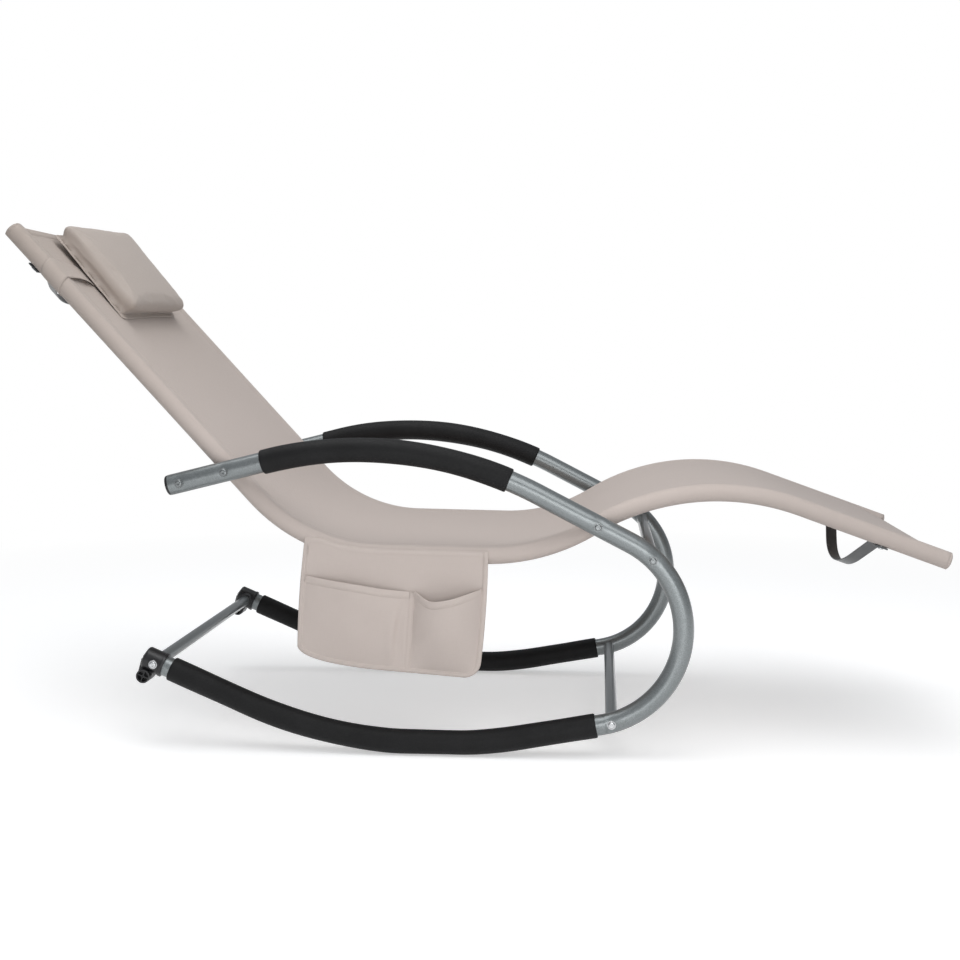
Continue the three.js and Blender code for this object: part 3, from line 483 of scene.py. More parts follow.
# ---- side frames
BOLTS = (
    ("rear_bar_bolt", REAR_BAR), ("rear_rail_bolt", REAR_RAIL), ("front_rail_bolt", FRONT_RAIL),
    ("front_bar_bolt", FRONT_BAR), ("low_bar_bolt", LOW_BAR),
)
HOOP_END = side_path.length - CONTACT


def dimpled(rings, side, depth=1.5, reach=15.0):
    """Presses the tube's outer wall in round each bolt."""
    for name, _ in BOLTS:
        bolt = centre(f"right_{name}")
        away = np.linalg.norm(rings[:, :, [0, 2]].mean(1) - bolt[[0, 2]], axis=1)
        near = np.exp(-((away / reach) ** 2) * 2.2)
        out = (rings[:, :, 1] * side - HALF) / TUBE_RADIUS
        pressed = np.clip((out - 0.35) / 0.65, 0, 1) ** 1.4
        rings[:, :, 1] -= side * depth * near[:, None] * pressed
    return rings


for label, side in SIDES:
    y = side * HALF
    fine = [s for _, b in BOLTS for s in np.arange(b - 24, b + 24.1, 2.0)]
    where = stations(SPLICE + 0.3, HOOP_END, 7, fine)
    rings = tube_rings([on_side(s, y) for s in where], TUBE_RADIUS, 40)
    hoop = loft(f"{label}_hoop_tube", dimpled(rings, side), paint)
    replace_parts(hoop, f"{label}_arm_hoop")

    where = stations(-CONTACT + 0.5, SPLICE, 8)
    rings = tube_rings([on_side(s, y) for s in where], TUBE_RADIUS, 40)
    rocker = loft(f"{label}_rocker_pipe", rings, paint)
    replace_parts(rocker, f"{label}_rocker_tube")

    for kind, low, high in (
        ("arm_grip", {"right": 849, "left": 833}[label], {"right": 1240, "left": 1256}[label]),
        ("rocker_grip", -430, 259),
    ):
        edge = 2.4  # the rounding of a sleeve's end
        start = [(low, TUBE_RADIUS - 0.1)]
        for a in np.linspace(0, math.pi / 2, 6):
            start.append((low + edge * (1 - math.cos(a)), FOAM_RADIUS - edge * (1 - math.sin(a))))
        end = [(high + low - s, r) for s, r in reversed(start)]
        inner = [(s, FOAM_RADIUS) for s in stations(low + edge + 6, high - edge - 6, 6)]
        rows = start + inner + end
        rings = tube_rings([on_side(s, y) for s, _ in rows], [r for _, r in rows], 40)
        # a soft sleeve is never quite even
        count = np.arange(len(rows))
        wave = 0.25 * np.sin(count * 0.21 + (0.7 if side > 0 else 0.0))
        wave *= np.clip(np.minimum(count, count[::-1]) / 12, 0, 1)
        middle = rings.mean(1, keepdims=True)
        rings = middle + (rings - middle) * (1 + wave / FOAM_RADIUS)[:, None, None]
        grip = loft(f"{label}_{kind}_sleeve", rings, foam, caps=False)
        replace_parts(grip, f"{label}_{kind}")

    point, along, _ = on_side(HOOP_END, y)
    profile = rounded([(0.0, 5.0), (15.4, 4.5), (15.7, 0.2), (14.0, -1.0), (0.0, -2.0)], {1: 1.8})
    plug = turn(f"{label}_arm_plug", profile, point, along, plastic, sides=40)
    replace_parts(plug, f"{label}_arm_end_plug")


def bolt_head(label, side, name, seat, material):
    """A button head with a hexagonal socket, on a thin washer, and its shank."""
    profile = [
        (0.01, 1.3), (2.0, 1.5, "hex"), (2.0, 3.05, "hex"), (2.75, 3.2), (3.6, 3.05), (4.4, 2.65),
        (5.0, 2.1), (5.4, 1.5), (5.6, 0.9), (5.6, 0.25), (5.3, 0.0), (6.6, 0.0),
        (6.8, -0.25), (6.8, -1.1), (6.4, -1.6), (3.0, -1.8), (3.0, -18.0), (0.01, -18.0),
    ]
    x, _, z = centre(f"right_{name}")
    middle, out = (x, side * (HALF + seat), z), side * ACROSS
    head = turn(f"{label}_{name}_head", profile, middle, out, material, sides=36, sharp=28)
    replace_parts(head, f"{label}_{name}")


for label, side in SIDES:
    for name, _ in BOLTS:
        bolt_head(label, side, name, BOLT_SEAT, zinc if name == "low_bar_bolt" else dull_zinc)
    bolt_head(label, side, "tail_bolt", TAIL_SEAT, zinc)


# ---- tail fittings
def tail_fitting(label, side):
    middle, along, square = on_side(TAIL_STATION, side * HALF)
    bolt = centre("right_tail_bolt")
    out = side * ACROSS

    def spot(inset, drop):
        return middle - along * inset - square * drop

    profile = rounded([
        (15.9, 0.0), (19.3, 0.0), (19.3, -5.0), (18.5, -5.6), (18.5, -33.0), (0.01, -38.5),
    ], {1: 0.8, 2: 0.7, 4: 3.4})
    parts = [turn("a", profile, middle, along, plastic, sides=40)]
    pad = rounded([(0.01, 1.0), (8.2, 1.0), (8.2, -6.0), (0.01, -6.0)], {1: 0.6})
    parts.append(turn("b", pad, (bolt[0], side * (HALF + 18.2), bolt[2]), out, plastic))
    collar = rounded([(9.6, 7.0), (13.0, 7.0), (13.6, -10.0), (0.01, -10.0)], {1: 0.8})
    parts.append(turn("c", collar, (bolt[0], side * (HALF - 17.5), bolt[2]), -out, plastic))
    # the round stop, with a cross of ribs in the recess at each end
    stop = spot(23.0, 25.4)
    drum = rounded([
        (0.01, 7.0), (8.6, 7.0), (8.6, 17.0), (11.0, 17.0),
        (11.0, -17.0), (8.6, -17.0), (8.6, -7.0), (0.01, -7.0),
    ], {3: 0.7, 4: 0.7})
    parts.append(turn("d", drum, stop, out, plastic, sides=40))
    hub = rounded([(0.01, 16.0), (2.6, 16.0), (2.6, -16.0), (0.01, -16.0)], {1: 0.4})
    parts.append(turn("e", hub, stop, out, plastic, sides=20))
    rib = ((-8.9, -0.8), (8.9, -0.8), (8.9, 0.8), (-8.9, 0.8))
    for name, u, w in (("f", square, along), ("g", along, square)):
        rings = [[stop + out * t + u * a + w * b for a, b in rib] for t in (-16.2, 16.2)]
        parts.append(loft(name, rings, plastic))
    # the web from the cap down to the stop
    rings = []
    for y, shrink in ((-10.0, 0.6), (-9.4, 0.0), (9.4, 0.0), (10.0, 0.6)):
        low, high = 12.0 + shrink, 34.0 - shrink
        outline = ((low, 2.0), (low, 25.4), (high, 25.4), (high + 3.0, 2.0))
        rings.append([spot(a, b) + y * ACROSS for a, b in outline])
    parts.append(loft("h", rings, plastic))
    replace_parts(merged(f"{label}_tail_cap", parts, plastic), f"{label}_tail_fitting")


for label, side in SIDES:
    tail_fitting(label, side)


# ---- crossbars and spacers
def dress(node, material):
    """A hidden CAD node keeps its shape and gets a material."""
    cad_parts[node].data.materials.clear()
    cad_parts[node].data.materials.append(material)


def bar(name, node, half, radius=9.5):
    x, _, z = centre(node)
    corners = [(0.01, -half), (radius, -half), (radius, half), (0.01, half)]
    profile = rounded(corners, {1: 0.6, 2: 0.6})
    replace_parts(turn(name, profile, (x, 0.0, z), ACROSS, paint, sides=36), node)
    for label, _ in SIDES:
        dress(f"{label}_{node}_insert", zinc)


for place, inset in (
    ("rear_top", 15.0), ("front_top", 15.0), ("front_low", 15.0), ("rear_low", 18.9),
):
    bar(f"{place}_crossbar", f"{place}_bar", HALF - inset)
for label, _ in SIDES:
    for kind in ("rear", "front"):
        node = f"{label}_{kind}_spacer"
        profile = rounded([(3.3, -2.6), (9.0, -2.6), (9.0, 2.6), (3.3, 2.6)], {1: 0.6, 2: 0.6})
        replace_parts(turn(f"{node}_ring", profile, centre(node), ACROSS, plastic), node)


# ---- rails
for label, side in SIDES:
    frames = [rail_path.frame(s, side * RAIL) for s in stations(0.5, RAIL_LENGTH - 0.5, 8)]
    rail = loft(f"{label}_rail_tube", tube_rings(frames, RAIL_RADIUS, 28), paint)
    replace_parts(rail, f"{label}_seat_rail")
    for kind in ("head", "foot"):
        dress(f"{label}_rail_{kind}_cap", plastic)


# ---- bows
def bow(name, station):
    point, along, square = rail_path.frame(station)
    seat, thick, bend = -13.9, 2.4, math.radians(22.5)
    leg = (RAIL - 44.0 - 318.0 * math.sin(bend)) / math.cos(bend)
    end = [51.0, (18.0, -22.5), leg]
    strip = Path([*end, (300.0, 45.0), *reversed(end)], 0.0, (-261.0, seat))
    bends = np.arange(48, 62, 2.0)
    marks = stations(0, strip.length, 9, [*bends, *(strip.length - bends)])
    line = np.array([strip.at(s)[0] for s in marks])
    section = (
        (-9.4, 0.0), (-10.0, -0.6), (-10.0, -1.8), (-9.4, -2.4),
        (9.4, -2.4), (10.0, -1.8), (10.0, -0.6), (9.4, 0.0),
    )
    rings = []
    for i, (a, b) in enumerate(line):
        t = unit(line[min(i + 1, len(line) - 1)] - line[max(i - 1, 0)])
        rings.append([
            point + along * u + ACROSS * (a - t[1] * v) + square * (b + t[0] * v)
            for u, v in section
        ])
    piece = loft(f"{name}_strip", rings, painted_shade_bow_paint, sharp=25)
    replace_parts(piece, name)
    profile = [
        (0.01, 10.0), (2.4, 10.0), (2.4, 0.0), (4.7, 0.0),
        (4.8, -0.8), (4.0, -1.9), (2.4, -2.4), (0.01, -2.5),
    ]
    for label, side in SIDES:
        middle = point + ACROSS * side * RAIL + square * (seat - thick - 0.1)
        screw = turn(f"{label}_{name}_screw_head", profile, middle, square, zinc, sides=24)
        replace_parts(screw, f"{label}_{name}_screw")


bow("head_bow", 64.0)
bow("foot_bow", RAIL_LENGTH - 98.0)


# ---- sling
PANEL = 11.2  # middle of the cloth above the rails' centrelines
PAST = 4.3  # the closed sleeves past the rails' ends
SHORT = 3.0  # the cloth between them ends before the rails
FOOT_HOLLOW = 2.0  # and its edge at the foot is drawn in


def sling_section():
    """(across, height) from the middle to the end of one hem's tuck, and the mirrored half."""
    half = [(0.0, 0.0)] + [(a, 0.0) for a in np.linspace(11, 220, 20)]
    half += [
        (226.0, 0.0), (229.5, -0.05), (231.5, -0.25), (233.5, 0.0), (237.0, 0.25),
        (241.0, 0.65), (245.0, 1.15), (249.0, 1.55), (252.0, 1.75),
    ]
    for angle in np.radians(np.arange(88.0, -207.0, -11.0)):
        half.append((RAIL + HEM_RADIUS * math.cos(angle), HEM_RADIUS * math.sin(angle) - PANEL))
    half += [(239.5, -2.2), (236.0, -1.9), (231.0, -1.75), (224.0, -1.7)]
    left = np.array(half) + (0.0, PANEL)
    return np.concatenate([left[:0:-1] * (-1.0, 1.0), left])


def foot_dip(s, a):
    """Towards the foot the cloth between the rolls lies lower."""
    share = ease(clamp((s - RAIL_LENGTH + 65.0) / 65.0))
    return -6.5 * share * ease(clamp((251.0 - abs(a)) / 14.0))


def sling_lift(s, a):
    """A small sag across the cloth and faint puckers along the hem seams."""
    arch = math.sin(math.pi * clamp(s / RAIL_LENGTH)) ** 0.6
    sag = -1.6 * (1 - min(1.0, (a / 232.0) ** 2)) * arch
    near = math.exp(-abs(abs(a) - 230.0) / 12.0) if abs(a) < 240.0 else 0.0
    wave = math.sin(s * 0.19 + 1.3 * math.sin(s * 0.023))
    wave += math.sin(s * 0.071 + (1.0 if a > 0 else 2.6))
    return sag + near * wave * 0.14 + foot_dip(s, a)


def sling():
    section = sling_section()
    rows = stations(-PAST, RAIL_LENGTH + PAST, 8, [SHORT, RAIL_LENGTH - SHORT])
    inside = (np.abs(section[:, 0]) < 251.5) & (section[:, 1] > 8.5)
    share = ease(np.clip((RAIL - np.abs(section[:, 0]) - 12.0) / 6.0, 0, 1))
    rings = []
    for base in rows:
        t = (base + PAST) / (RAIL_LENGTH + 2 * PAST)
        ring = []
        for (a, h), inward, flat in zip(section, share, inside):
            low = -PAST + (PAST + SHORT) * inward
            high = RAIL_LENGTH - low - inward * FOOT_HOLLOW * (1 - min(1.0, (a / 240.0) ** 2))
            s = low + (high - low) * t
            point, _, square = rail_path.frame(s)
            if flat:
                h += sling_lift(s, a)
            ring.append(point + ACROSS * a + square * h)
        rings.append(ring)
    piece = skin("sling_cover", rings, cloth, "frame", 1.1)
    profile = rounded([(13.6, -3.0), (13.6, -0.4), (10.5, 2.0), (0.01, 2.6)], {1: 0.5, 2: 1.5})
    for label, side in SIDES:
        for at_end, s, sign in (("head", -PAST, -1), ("foot", RAIL_LENGTH + PAST, 1)):
            point, along, _ = rail_path.frame(s, side * RAIL)
            name = f"{label}_{at_end}_hem_end"
            turn(name, profile, point, along * sign, cloth, sides=40)
    lines = []
    for _, side in SIDES:
        for a, h in ((228.5, PANEL + 0.5), (234.5, PANEL + 0.6)):
            points, outs = [], []
            for s in np.arange(8.0, RAIL_LENGTH - 8.0, 6.0):
                point, _, square = rail_path.frame(s, side * a)
                points.append(point + square * (h + sling_lift(s, side * a)))
                outs.append(square)
            lines.append((points, outs))
    stitches(
        "sling_hem_stitches", lines, "frame", cloth, pitch=5.2, length=3.8, width=0.7, rise=0.3,
    )
    # the folded edges across the head and the foot
    fold = (
        (-0.3, 0.0), (0.0, 0.7), (6.0, 0.75), (13.0, 0.7),
        (13.6, 0.0), (13.0, -0.7), (6.0, -0.75), (0.0, -0.7),
    )
    for at_end, start, sign, hollow in (
        ("head", SHORT, 1, 0.0), ("foot", RAIL_LENGTH - SHORT, -1, FOOT_HOLLOW),
    ):
        rings = []
        for a in np.linspace(-233, 233, 60):
            ring = []
            for u, v in fold:
                s = start - hollow * (1 - (a / 240.0) ** 2) + sign * u
                point, _, square = rail_path.frame(s, a)
                ring.append(point + square * (PANEL + sling_lift(s, a) + v))
            rings.append(ring)
        loft(f"sling_{at_end}_hem", rings, cloth, sharp=50)
    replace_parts(piece, "sling")


sling()


# ---- headrest
PILLOW_LONG, PILLOW_WIDE = 178.0, 312.0
SLANT = 16.0 / PILLOW_WIDE  # it lies a little askew
PILLOW_STATION, STRAP_STATION = 98.0, 90.0
PILLOW_SHIFT = 5.0
PILLOW_TOP = 34.8  # the height of the top's edge
PILLOW_POINT, PILLOW_ALONG, PILLOW_SQUARE = rail_path.frame(PILLOW_STATION)
PITCH = math.radians(3.2)
STRAP_WIDE = 43.0
REST = PANEL + 0.7  # the flange of the pillow lies on the sling


def on_pillow(x, y, h):
    """From the pillow's own length, width and height to the room, all in millimetres."""
    x = x - SLANT * y - PILLOW_LONG / 2
    rx = x * math.cos(PITCH) + h * math.sin(PITCH) + PILLOW_LONG / 2
    rz = -x * math.sin(PITCH) + h * math.cos(PITCH) + REST
    parts = np.stack(np.broadcast_arrays(rx, y - PILLOW_SHIFT, rz), -1)
    return PILLOW_POINT + parts @ np.array([PILLOW_ALONG, ACROSS, PILLOW_SQUARE])


def off_pillow(points):
    away = np.asarray(points) - PILLOW_POINT
    x = away @ PILLOW_ALONG - PILLOW_LONG / 2
    z = away @ PILLOW_SQUARE - REST
    y = away @ ACROSS + PILLOW_SHIFT
    flat = x * math.cos(PITCH) - z * math.sin(PITCH)
    height = x * math.sin(PITCH) + z * math.cos(PITCH)
    return np.stack([flat + PILLOW_LONG / 2 + SLANT * y, y, height], -1)


def cushion_outline(length, width, corner, pull, per_side=26, per_corner=6):
    """A rounded rectangle with sides that are drawn in a little."""
    turns = np.array([(1, 1), (-1, 1), (-1, -1), (1, -1), (1, 1)])
    centres = turns * (length / 2 - corner, width / 2 - corner)
    points = []
    for i in range(4):
        for angle in math.pi / 2 * (i + np.linspace(0, 1, per_corner + 1)):
            out = np.array([math.cos(angle), math.sin(angle)])
            points.append(centres[i] + corner * out)
        start, end = points[-1], centres[i + 1] + corner * out
        for t in np.arange(1, per_side) / per_side:
            points.append(start + (end - start) * t - out * pull * math.sin(math.pi * t))
    return np.array(points)


PILLOW_OUTLINE = cushion_outline(PILLOW_LONG, PILLOW_WIDE, 9.0, 0.6)


def pillow_ring(grow, height, share=1.0):
    """A level of the cushion; its two ends swell, the lower one most away from the camera."""
    x, y = PILLOW_OUTLINE.T
    u, v = x / PILLOW_LONG * 2, y / PILLOW_WIDE * 2
    far = 0.65 + 0.35 * v
    low_end = 7.5 * np.sin(math.pi * np.clip((height - 3.0) / 36.0, 0, 1))
    top_end = 8.5 * np.sin(math.pi * np.clip((height - 2.0) / 35.0, 0, 1))
    full = low_end * far * np.clip(u, 0, 1) ** 6 - top_end * np.clip(-u, 0, 1) ** 6
    corner = np.clip(-u, 0, 1) ** 2 * np.clip(-v, 0, 1) ** 2
    u, v = u * share, v * share
    if share < 1 and np.max(height) > PILLOW_TOP / 2:
        height = height + 3.6 * (1 - u * u) * (1 - v * v)
        corner = corner * share**4
    crown = np.cos(math.pi * v / 2) * np.clip(height / 30, 0, 1)
    height = height * (1 - 0.14 * corner + 0.05 * crown)
    x = u * (PILLOW_LONG / 2 + grow) + full * share**4
    return on_pillow(x, v * (PILLOW_WIDE / 2 + grow), height)


def evaluated(piece):
    bpy.context.view_layer.update()
    graph = bpy.context.evaluated_depsgraph_get()
    return bpy.data.meshes.new_from_object(piece.evaluated_get(graph), depsgraph=graph)


def read_points(mesh):
    flat = np.empty(len(mesh.vertices) * 3)
    mesh.vertices.foreach_get("co", flat)
    return flat.reshape(-1, 3)


def swap_mesh(piece, mesh):
    piece.modifiers.clear()
    old = piece.data
    piece.data = mesh
    bpy.data.meshes.remove(old)


def inflate(piece, pinned, cap, pressure, voxel, steps=20):
    """Remeshes a closed soft piece and swells it with cloth pressure, capped and kept."""
    remesh = piece.modifiers.new("remesh", "REMESH")
    remesh.mode = "VOXEL"
    remesh.voxel_size = voxel * MM
    swap_mesh(piece, evaluated(piece))
    start = read_points(piece.data)
    weights = pinned(start / MM)
    group = piece.vertex_groups.new(name="pin")
    for index in np.nonzero(weights > 0.01)[0]:
        group.add([int(index)], float(weights[index]), "REPLACE")
    cloth_modifier = piece.modifiers.new("cloth", "CLOTH")
    settings = cloth_modifier.settings
    for key, value in (
        ("quality", 6), ("mass", 0.3), ("tension_stiffness", 18), ("compression_stiffness", 18),
        ("bending_stiffness", 0.6), ("use_pressure", True), ("uniform_pressure_force", pressure),
        ("vertex_group_mass", "pin"),
    ):
        setattr(settings, key, value)
    settings.effector_weights.gravity = 0.0
    cloth_modifier.point_cache.frame_start = 1
    cloth_modifier.point_cache.frame_end = steps
    for step in range(1, steps + 1):
        scene.frame_set(step)
    mesh = evaluated(piece)
    moved = read_points(mesh)
    away = moved - start
    reach = np.linalg.norm(away, axis=1, keepdims=True)
    limit = cap * MM
    eased = limit * np.tanh(reach / limit)
    moved = start + away * np.where(reach > 1e-9, eased / np.maximum(reach, 1e-9), 0.0)
    mesh.vertices.foreach_set("co", moved.ravel())
    swap_mesh(piece, mesh)
    piece.vertex_groups.clear()
    scene.frame_set(1)


def lay_uv(piece, local):
    """Weave coordinates from a piece's own axes, by the way that each face looks."""
    mesh = piece.data
    mesh.update()
    layer = mesh.uv_layers.new(name="UVMap") if not mesh.uv_layers else mesh.uv_layers[0]
    points = local(read_points(mesh) / MM)
    for polygon in mesh.polygons:
        corners = points[list(polygon.vertices)]
        normal = np.abs(np.cross(corners[1] - corners[0], corners[-1] - corners[0]))
        if normal[2] >= max(normal[0], normal[1]) * 0.8:
            pick = [0, 1]
        else:
            pick = [1, 2] if normal[0] > normal[1] else [0, 2]
        for loop, corner in zip(polygon.loop_indices, corners):
            layer.data[loop].uv = corner[pick] * MM


def pillow():
    levels = [
        (0.15, -9.0, -3.2), (0.4, -9.0, -3.0), (0.65, -9.0, -2.7), (0.85, -9.0, -2.0),
        (0.95, -8.4, -1.0),
    ]
    levels += [(1.0, grow, height) for grow, height in (
        (-7.4, 0.0), (-7.0, 1.0), (-7.4, 2.4), (-9.6, 4.4), (-10.2, 7.5), (-9.0, 12.0),
        (-7.4, 17.0), (-6.2, 22.0), (-5.6, 26.5), (-6.4, 30.4), (-8.8, 33.2), (-12.4, PILLOW_TOP),
    )]
    shares = (0.94, 0.86, 0.74, 0.6, 0.45, 0.3, 0.18, 0.08)
    levels += [(share, -12.0, PILLOW_TOP) for share in shares]
    rings = [pillow_ring(grow, height, share) for share, grow, height in levels]
    piece = loft("headrest_cushion", rings, pillow_cloth, "headrest", sharp=0)

    def pinned(points):
        local = off_pillow(points)
        seam = np.clip(1.6 - np.abs(local[:, 2] - 0.9) / 2.4, 0, 1)
        under = np.clip(-local[:, 2] / 2.0, 0, 1) * 0.9
        return np.maximum(seam, under)

    inflate(piece, pinned, 2.4, pressure=1.6, voxel=4.5)
    # flat where it rests on the sling, and never through it
    mesh = piece.data
    points = read_points(mesh) / MM
    height = (points - PILLOW_POINT) @ PILLOW_SQUARE
    low = np.clip(PANEL + 0.9 - height, 0, None)
    points += low[:, None] * PILLOW_SQUARE
    mesh.vertices.foreach_set("co", (points * MM).ravel())
    lay_uv(piece, off_pillow)
    mesh.shade_smooth()
    smooth = piece.modifiers.new("smooth", "SUBSURF")
    smooth.levels = smooth.render_levels = 1
    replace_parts(piece, "headrest_pillow")

    count = len(PILLOW_OUTLINE)
    angle = 2 * math.pi * np.arange(count) / count
    wave = 0.35 * np.sin(9 * angle) + 0.25 * np.sin(23 * angle + 1.0)
    rim = [
        (-10.5, 0.1), (-1.2, 0.0), (-0.3, 0.3), (0.0, 1.0), (-0.3, 1.7), (-1.1, 2.0), (-1.9, 1.8),
        (-2.4, 1.35), (-2.9, 1.85), (-3.6, 2.05), (-4.4, 1.85), (-5.0, 1.4), (-5.6, 1.85),
        (-7.0, 2.0), (-10.5, 1.8),
    ]

    def rim_ring(grow, height):
        return pillow_ring(grow, height + wave * (grow + 9.0) / 9.0)

    rings = [rim_ring(grow, height) for grow, height in rim]
    loft("headrest_cushion_flange", rings, pillow_cloth, "headrest", caps=False, sharp=0)
    up = on_pillow(0, 0, 1) - on_pillow(0, 0, 0)
    lines = []
    for grow in (-2.4, -5.0):
        ring = rim_ring(grow, 1.55)
        lines.append((np.concatenate([ring, ring[:1]]), up))
    stitches("headrest_cushion_stitches", lines, "headrest", length=2.9, width=1.1, rise=0.75)


pillow()


def band():
    """The strap from the pillow's sides round both hem sleeves and across the back."""
    point, along, square = rail_path.frame(STRAP_STATION)
    wrap = 14.15
    # across, height, the outward direction's two parts, and how far down the back its middle lies
    route = [(y, z, 0.0, 1.0, middle) for y, z, middle in (
        (-143.0, 12.5, 10.0), (-150.0, 12.5, 10.0), (-160.0, 12.7, 9.4), (-175.0, 13.0, 8.2),
        (-195.0, 13.2, 6.0), (-215.0, 13.5, 3.6), (-232.0, 13.8, 1.6), (-244.0, 14.1, 0.4),
    )]
    for t in np.linspace(0, 1, 25):
        ny, nz = math.cos(math.pi * (0.5 + t)), math.sin(math.pi * (0.5 + t))
        route.append((-RAIL + wrap * ny, wrap * nz, ny, nz, 13.0 * t**1.2))
    route += [(-y, z, -ny, nz, middle) for y, z, ny, nz, middle in reversed(route)]
    rings = []
    for y, z, ny, nz, middle in route:
        free = clamp((246 - abs(y)) / 90) if nz > 0.9 and abs(y) > 150 else 0.0
        ring = []
        for u in np.linspace(-1, 1, 13):
            # free, it stands up at its lower edge; its upper edge is pressed down on the hem
            lift = 0.5 * math.sin(4.2 * u + y * 0.03) + 6.0 * max(0.0, (u + 0.1) / 1.1) ** 2
            slack = math.sin(math.pi * free) * lift - 0.6 * (max(0.0, -u - 0.4) / 0.6) ** 1.5
            spot = point + along * (middle + STRAP_WIDE / 2 * u)
            ring.append(spot + ACROSS * (y + ny * slack) + square * (z + nz * slack))
        rings.append(ring)
    piece = skin("headrest_strap", rings, cloth, "headrest", 0.8)
    rings = np.array(rings)[2:-2]
    outs = np.array([ny * ACROSS + nz * square for _, _, ny, nz, _ in route[2:-2]])
    line = rings[:, 12] * 0.35 + rings[:, 11] * 0.65 + outs * 0.4
    hem = stitches(
        "headrest_strap_stitches", [(line, outs)], "headrest", cloth,
        pitch=4.4, length=3.0, width=0.7, rise=0.3,
    )
    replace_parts(piece, "headrest_band")


band()


# ---- pouch
POUCH_TURN = -math.radians(4.1)
POUCH_FACE = RAIL + HEM_RADIUS + 0.9
rail_front, _ = rail_path.at(956.0)  # where its top seam ends
POUCH_W, POUCH_H = 287.0, 200.0
POUCH_CORNER = 24.0
SPLIT = 174.0  # the seam between the pockets
POUCH_RISE = 8.0  # its top seam above the rail's middle
px = np.array([math.cos(POUCH_TURN), math.sin(POUCH_TURN)])
pz = np.array([-math.sin(POUCH_TURN), math.cos(POUCH_TURN)])
pouch_origin = rail_front + (0.0, POUCH_RISE) - POUCH_W * px


def on_pouch(x, height, out):
    """A point of the pouch's drawing plane, out from its back towards the camera's side."""
    p = pouch_origin + x * px + height * pz
    return np.array([p[0], -POUCH_FACE - out, p[1]])


RAIL_TABLE = np.array([rail_path.at(s)[0] for s in np.arange(500.0, 1100.0, 4.0)])


def pouch_top(x):
    p = pouch_origin + x * px
    z = np.interp(p[0], *RAIL_TABLE.T) + POUCH_RISE
    return min(0.0, (z - p[1]) * math.cos(POUCH_TURN))


def pouch_bottom(x):
    left = POUCH_CORNER - max(POUCH_W - x, 0.0)
    if left > 0:
        return -POUCH_H + POUCH_CORNER - math.sqrt(POUCH_CORNER**2 - left**2)
    share = 1 - math.sqrt(clamp(x / 118.0))
    return -POUCH_H + 2 * share * (1 - share) * 3.0 + share**2 * 28.0


def widened(x, height):
    """The pouch's sides bow out a little between its top and its bottom."""
    reach = POUCH_W / 4
    share = max(0.0, 1 - (POUCH_W - x) / reach) - max(0.0, 1 - x / reach)
    return x + 3.0 * math.sin(math.pi * -height / POUCH_H) * share


def rumple(x, h, seed):
    """Soft unevenness of hanging cloth, about one unit high."""
    broad = math.sin(x * 0.061 + h * 0.043 + seed) * math.sin(h * 0.052 - x * 0.017 + 2 * seed)
    return broad + 0.45 * math.sin(x * 0.13 - h * 0.09 + 3 * seed) * math.sin(h * 0.11 + seed)


def back_depth(x, h):
    """The back hangs from the rail's roll and follows its round at the top."""
    over = clamp(h - pouch_top(x) + POUCH_RISE, 0.0, POUCH_RISE)
    roll = HEM_RADIUS + 0.55
    return 0.7 + math.sqrt(roll**2 - over**2) - roll


def low_edge(x):
    return pouch_bottom(clamp(x, 0.6, POUCH_W - 0.6))


def pouch_grid(x0, x1, top, depth, columns, rows):
    rings = []
    for x in np.linspace(x0, x1, columns + 1):
        heights = np.linspace(low_edge(x), top(x), rows + 1)
        rings.append([on_pouch(widened(x, h), h, depth(x, h)) for h in heights])
    return rings


def rim_of(x0, x1, drops):
    """A smooth line through the heights of a pocket's rim."""
    knots = np.array([drops[0]] + drops + [drops[-1]], float)

    def top(x):
        t = (x - x0) / (x1 - x0) * (len(drops) - 1)
        i = min(int(t), len(drops) - 2)
        p = knots[i:i + 4]
        t -= i
        a, b = (p[2] - p[0]) / 2, (p[3] - p[1]) / 2
        start = (1 - ease(t)) * p[1] + (t**3 - 2 * t**2 + t) * a
        return -(start + ease(t) * p[2] + (t**3 - t**2) * b)

    return top


def within(x0, x1, outer, inner):
    """A pocket's extent less a margin: outer at the pouch's side, inner at the split."""
    return x0 + (outer if x0 <= 0 else inner), x1 - (outer if x1 >= POUCH_W else inner)


def pocket_depth(x0, x1, top, bulge, seed):
    """How far a pocket's front stands out; it lies flat where it is sewn down."""
    start, end = within(x0, x1, 7.5, 3.0)

    def depth(x, h):
        low = low_edge(x) + 7.5
        u = clamp((x - start) / (end - start))
        v = clamp((h - low) / (top(x) - low))
        swell = math.sin(math.pi * u) ** 0.8 * math.sin(math.pi / 2 * v) ** 0.75
        out = 2.4 + bulge * swell + 0.8 * rumple(x, h, seed) * swell
        if x0 <= 0:
            # a crease beside the seam between the pockets, deeper towards the bottom
            deep = clamp((-h - 85.0) / 60.0)
            crease = 2.2 * math.exp(-(((x - 146.0) / 7.0) ** 2))
            crease -= 4.6 * math.exp(-(((x - 160.0 + 4 * deep) / 5.0) ** 2))
            out += crease * deep * min(1.0, v * 6)
        return max(out, 2.2)

    return depth


def hem_along(name, xs, top, depth, width=12.0, thick=0.8):
    """A folded hem round the upper edge of a hanging cloth."""
    shape = [
        (-width, thick * 0.55), (-width + 0.5, thick), (-width / 2, thick + 0.06), (-1.0, thick),
        (0.1, thick * 0.8), (0.6, 0.0), (0.1, -thick * 0.8), (-1.0, -thick),
        (-width + 0.5, -thick), (-width, -thick * 0.55),
    ]
    rings = []
    for x in xs:
        ring = []
        for dh, dd in shape:
            h = top(x) + dh
            ring.append(on_pouch(widened(x, h), h, depth(x, min(h, top(x))) + dd))
        rings.append(ring)
    return loft(name, rings, pouch_cloth, "side_pouch", sharp=50)


def row(points):
    """A row of stitches that looks towards the camera."""
    return np.array(points), -ACROSS


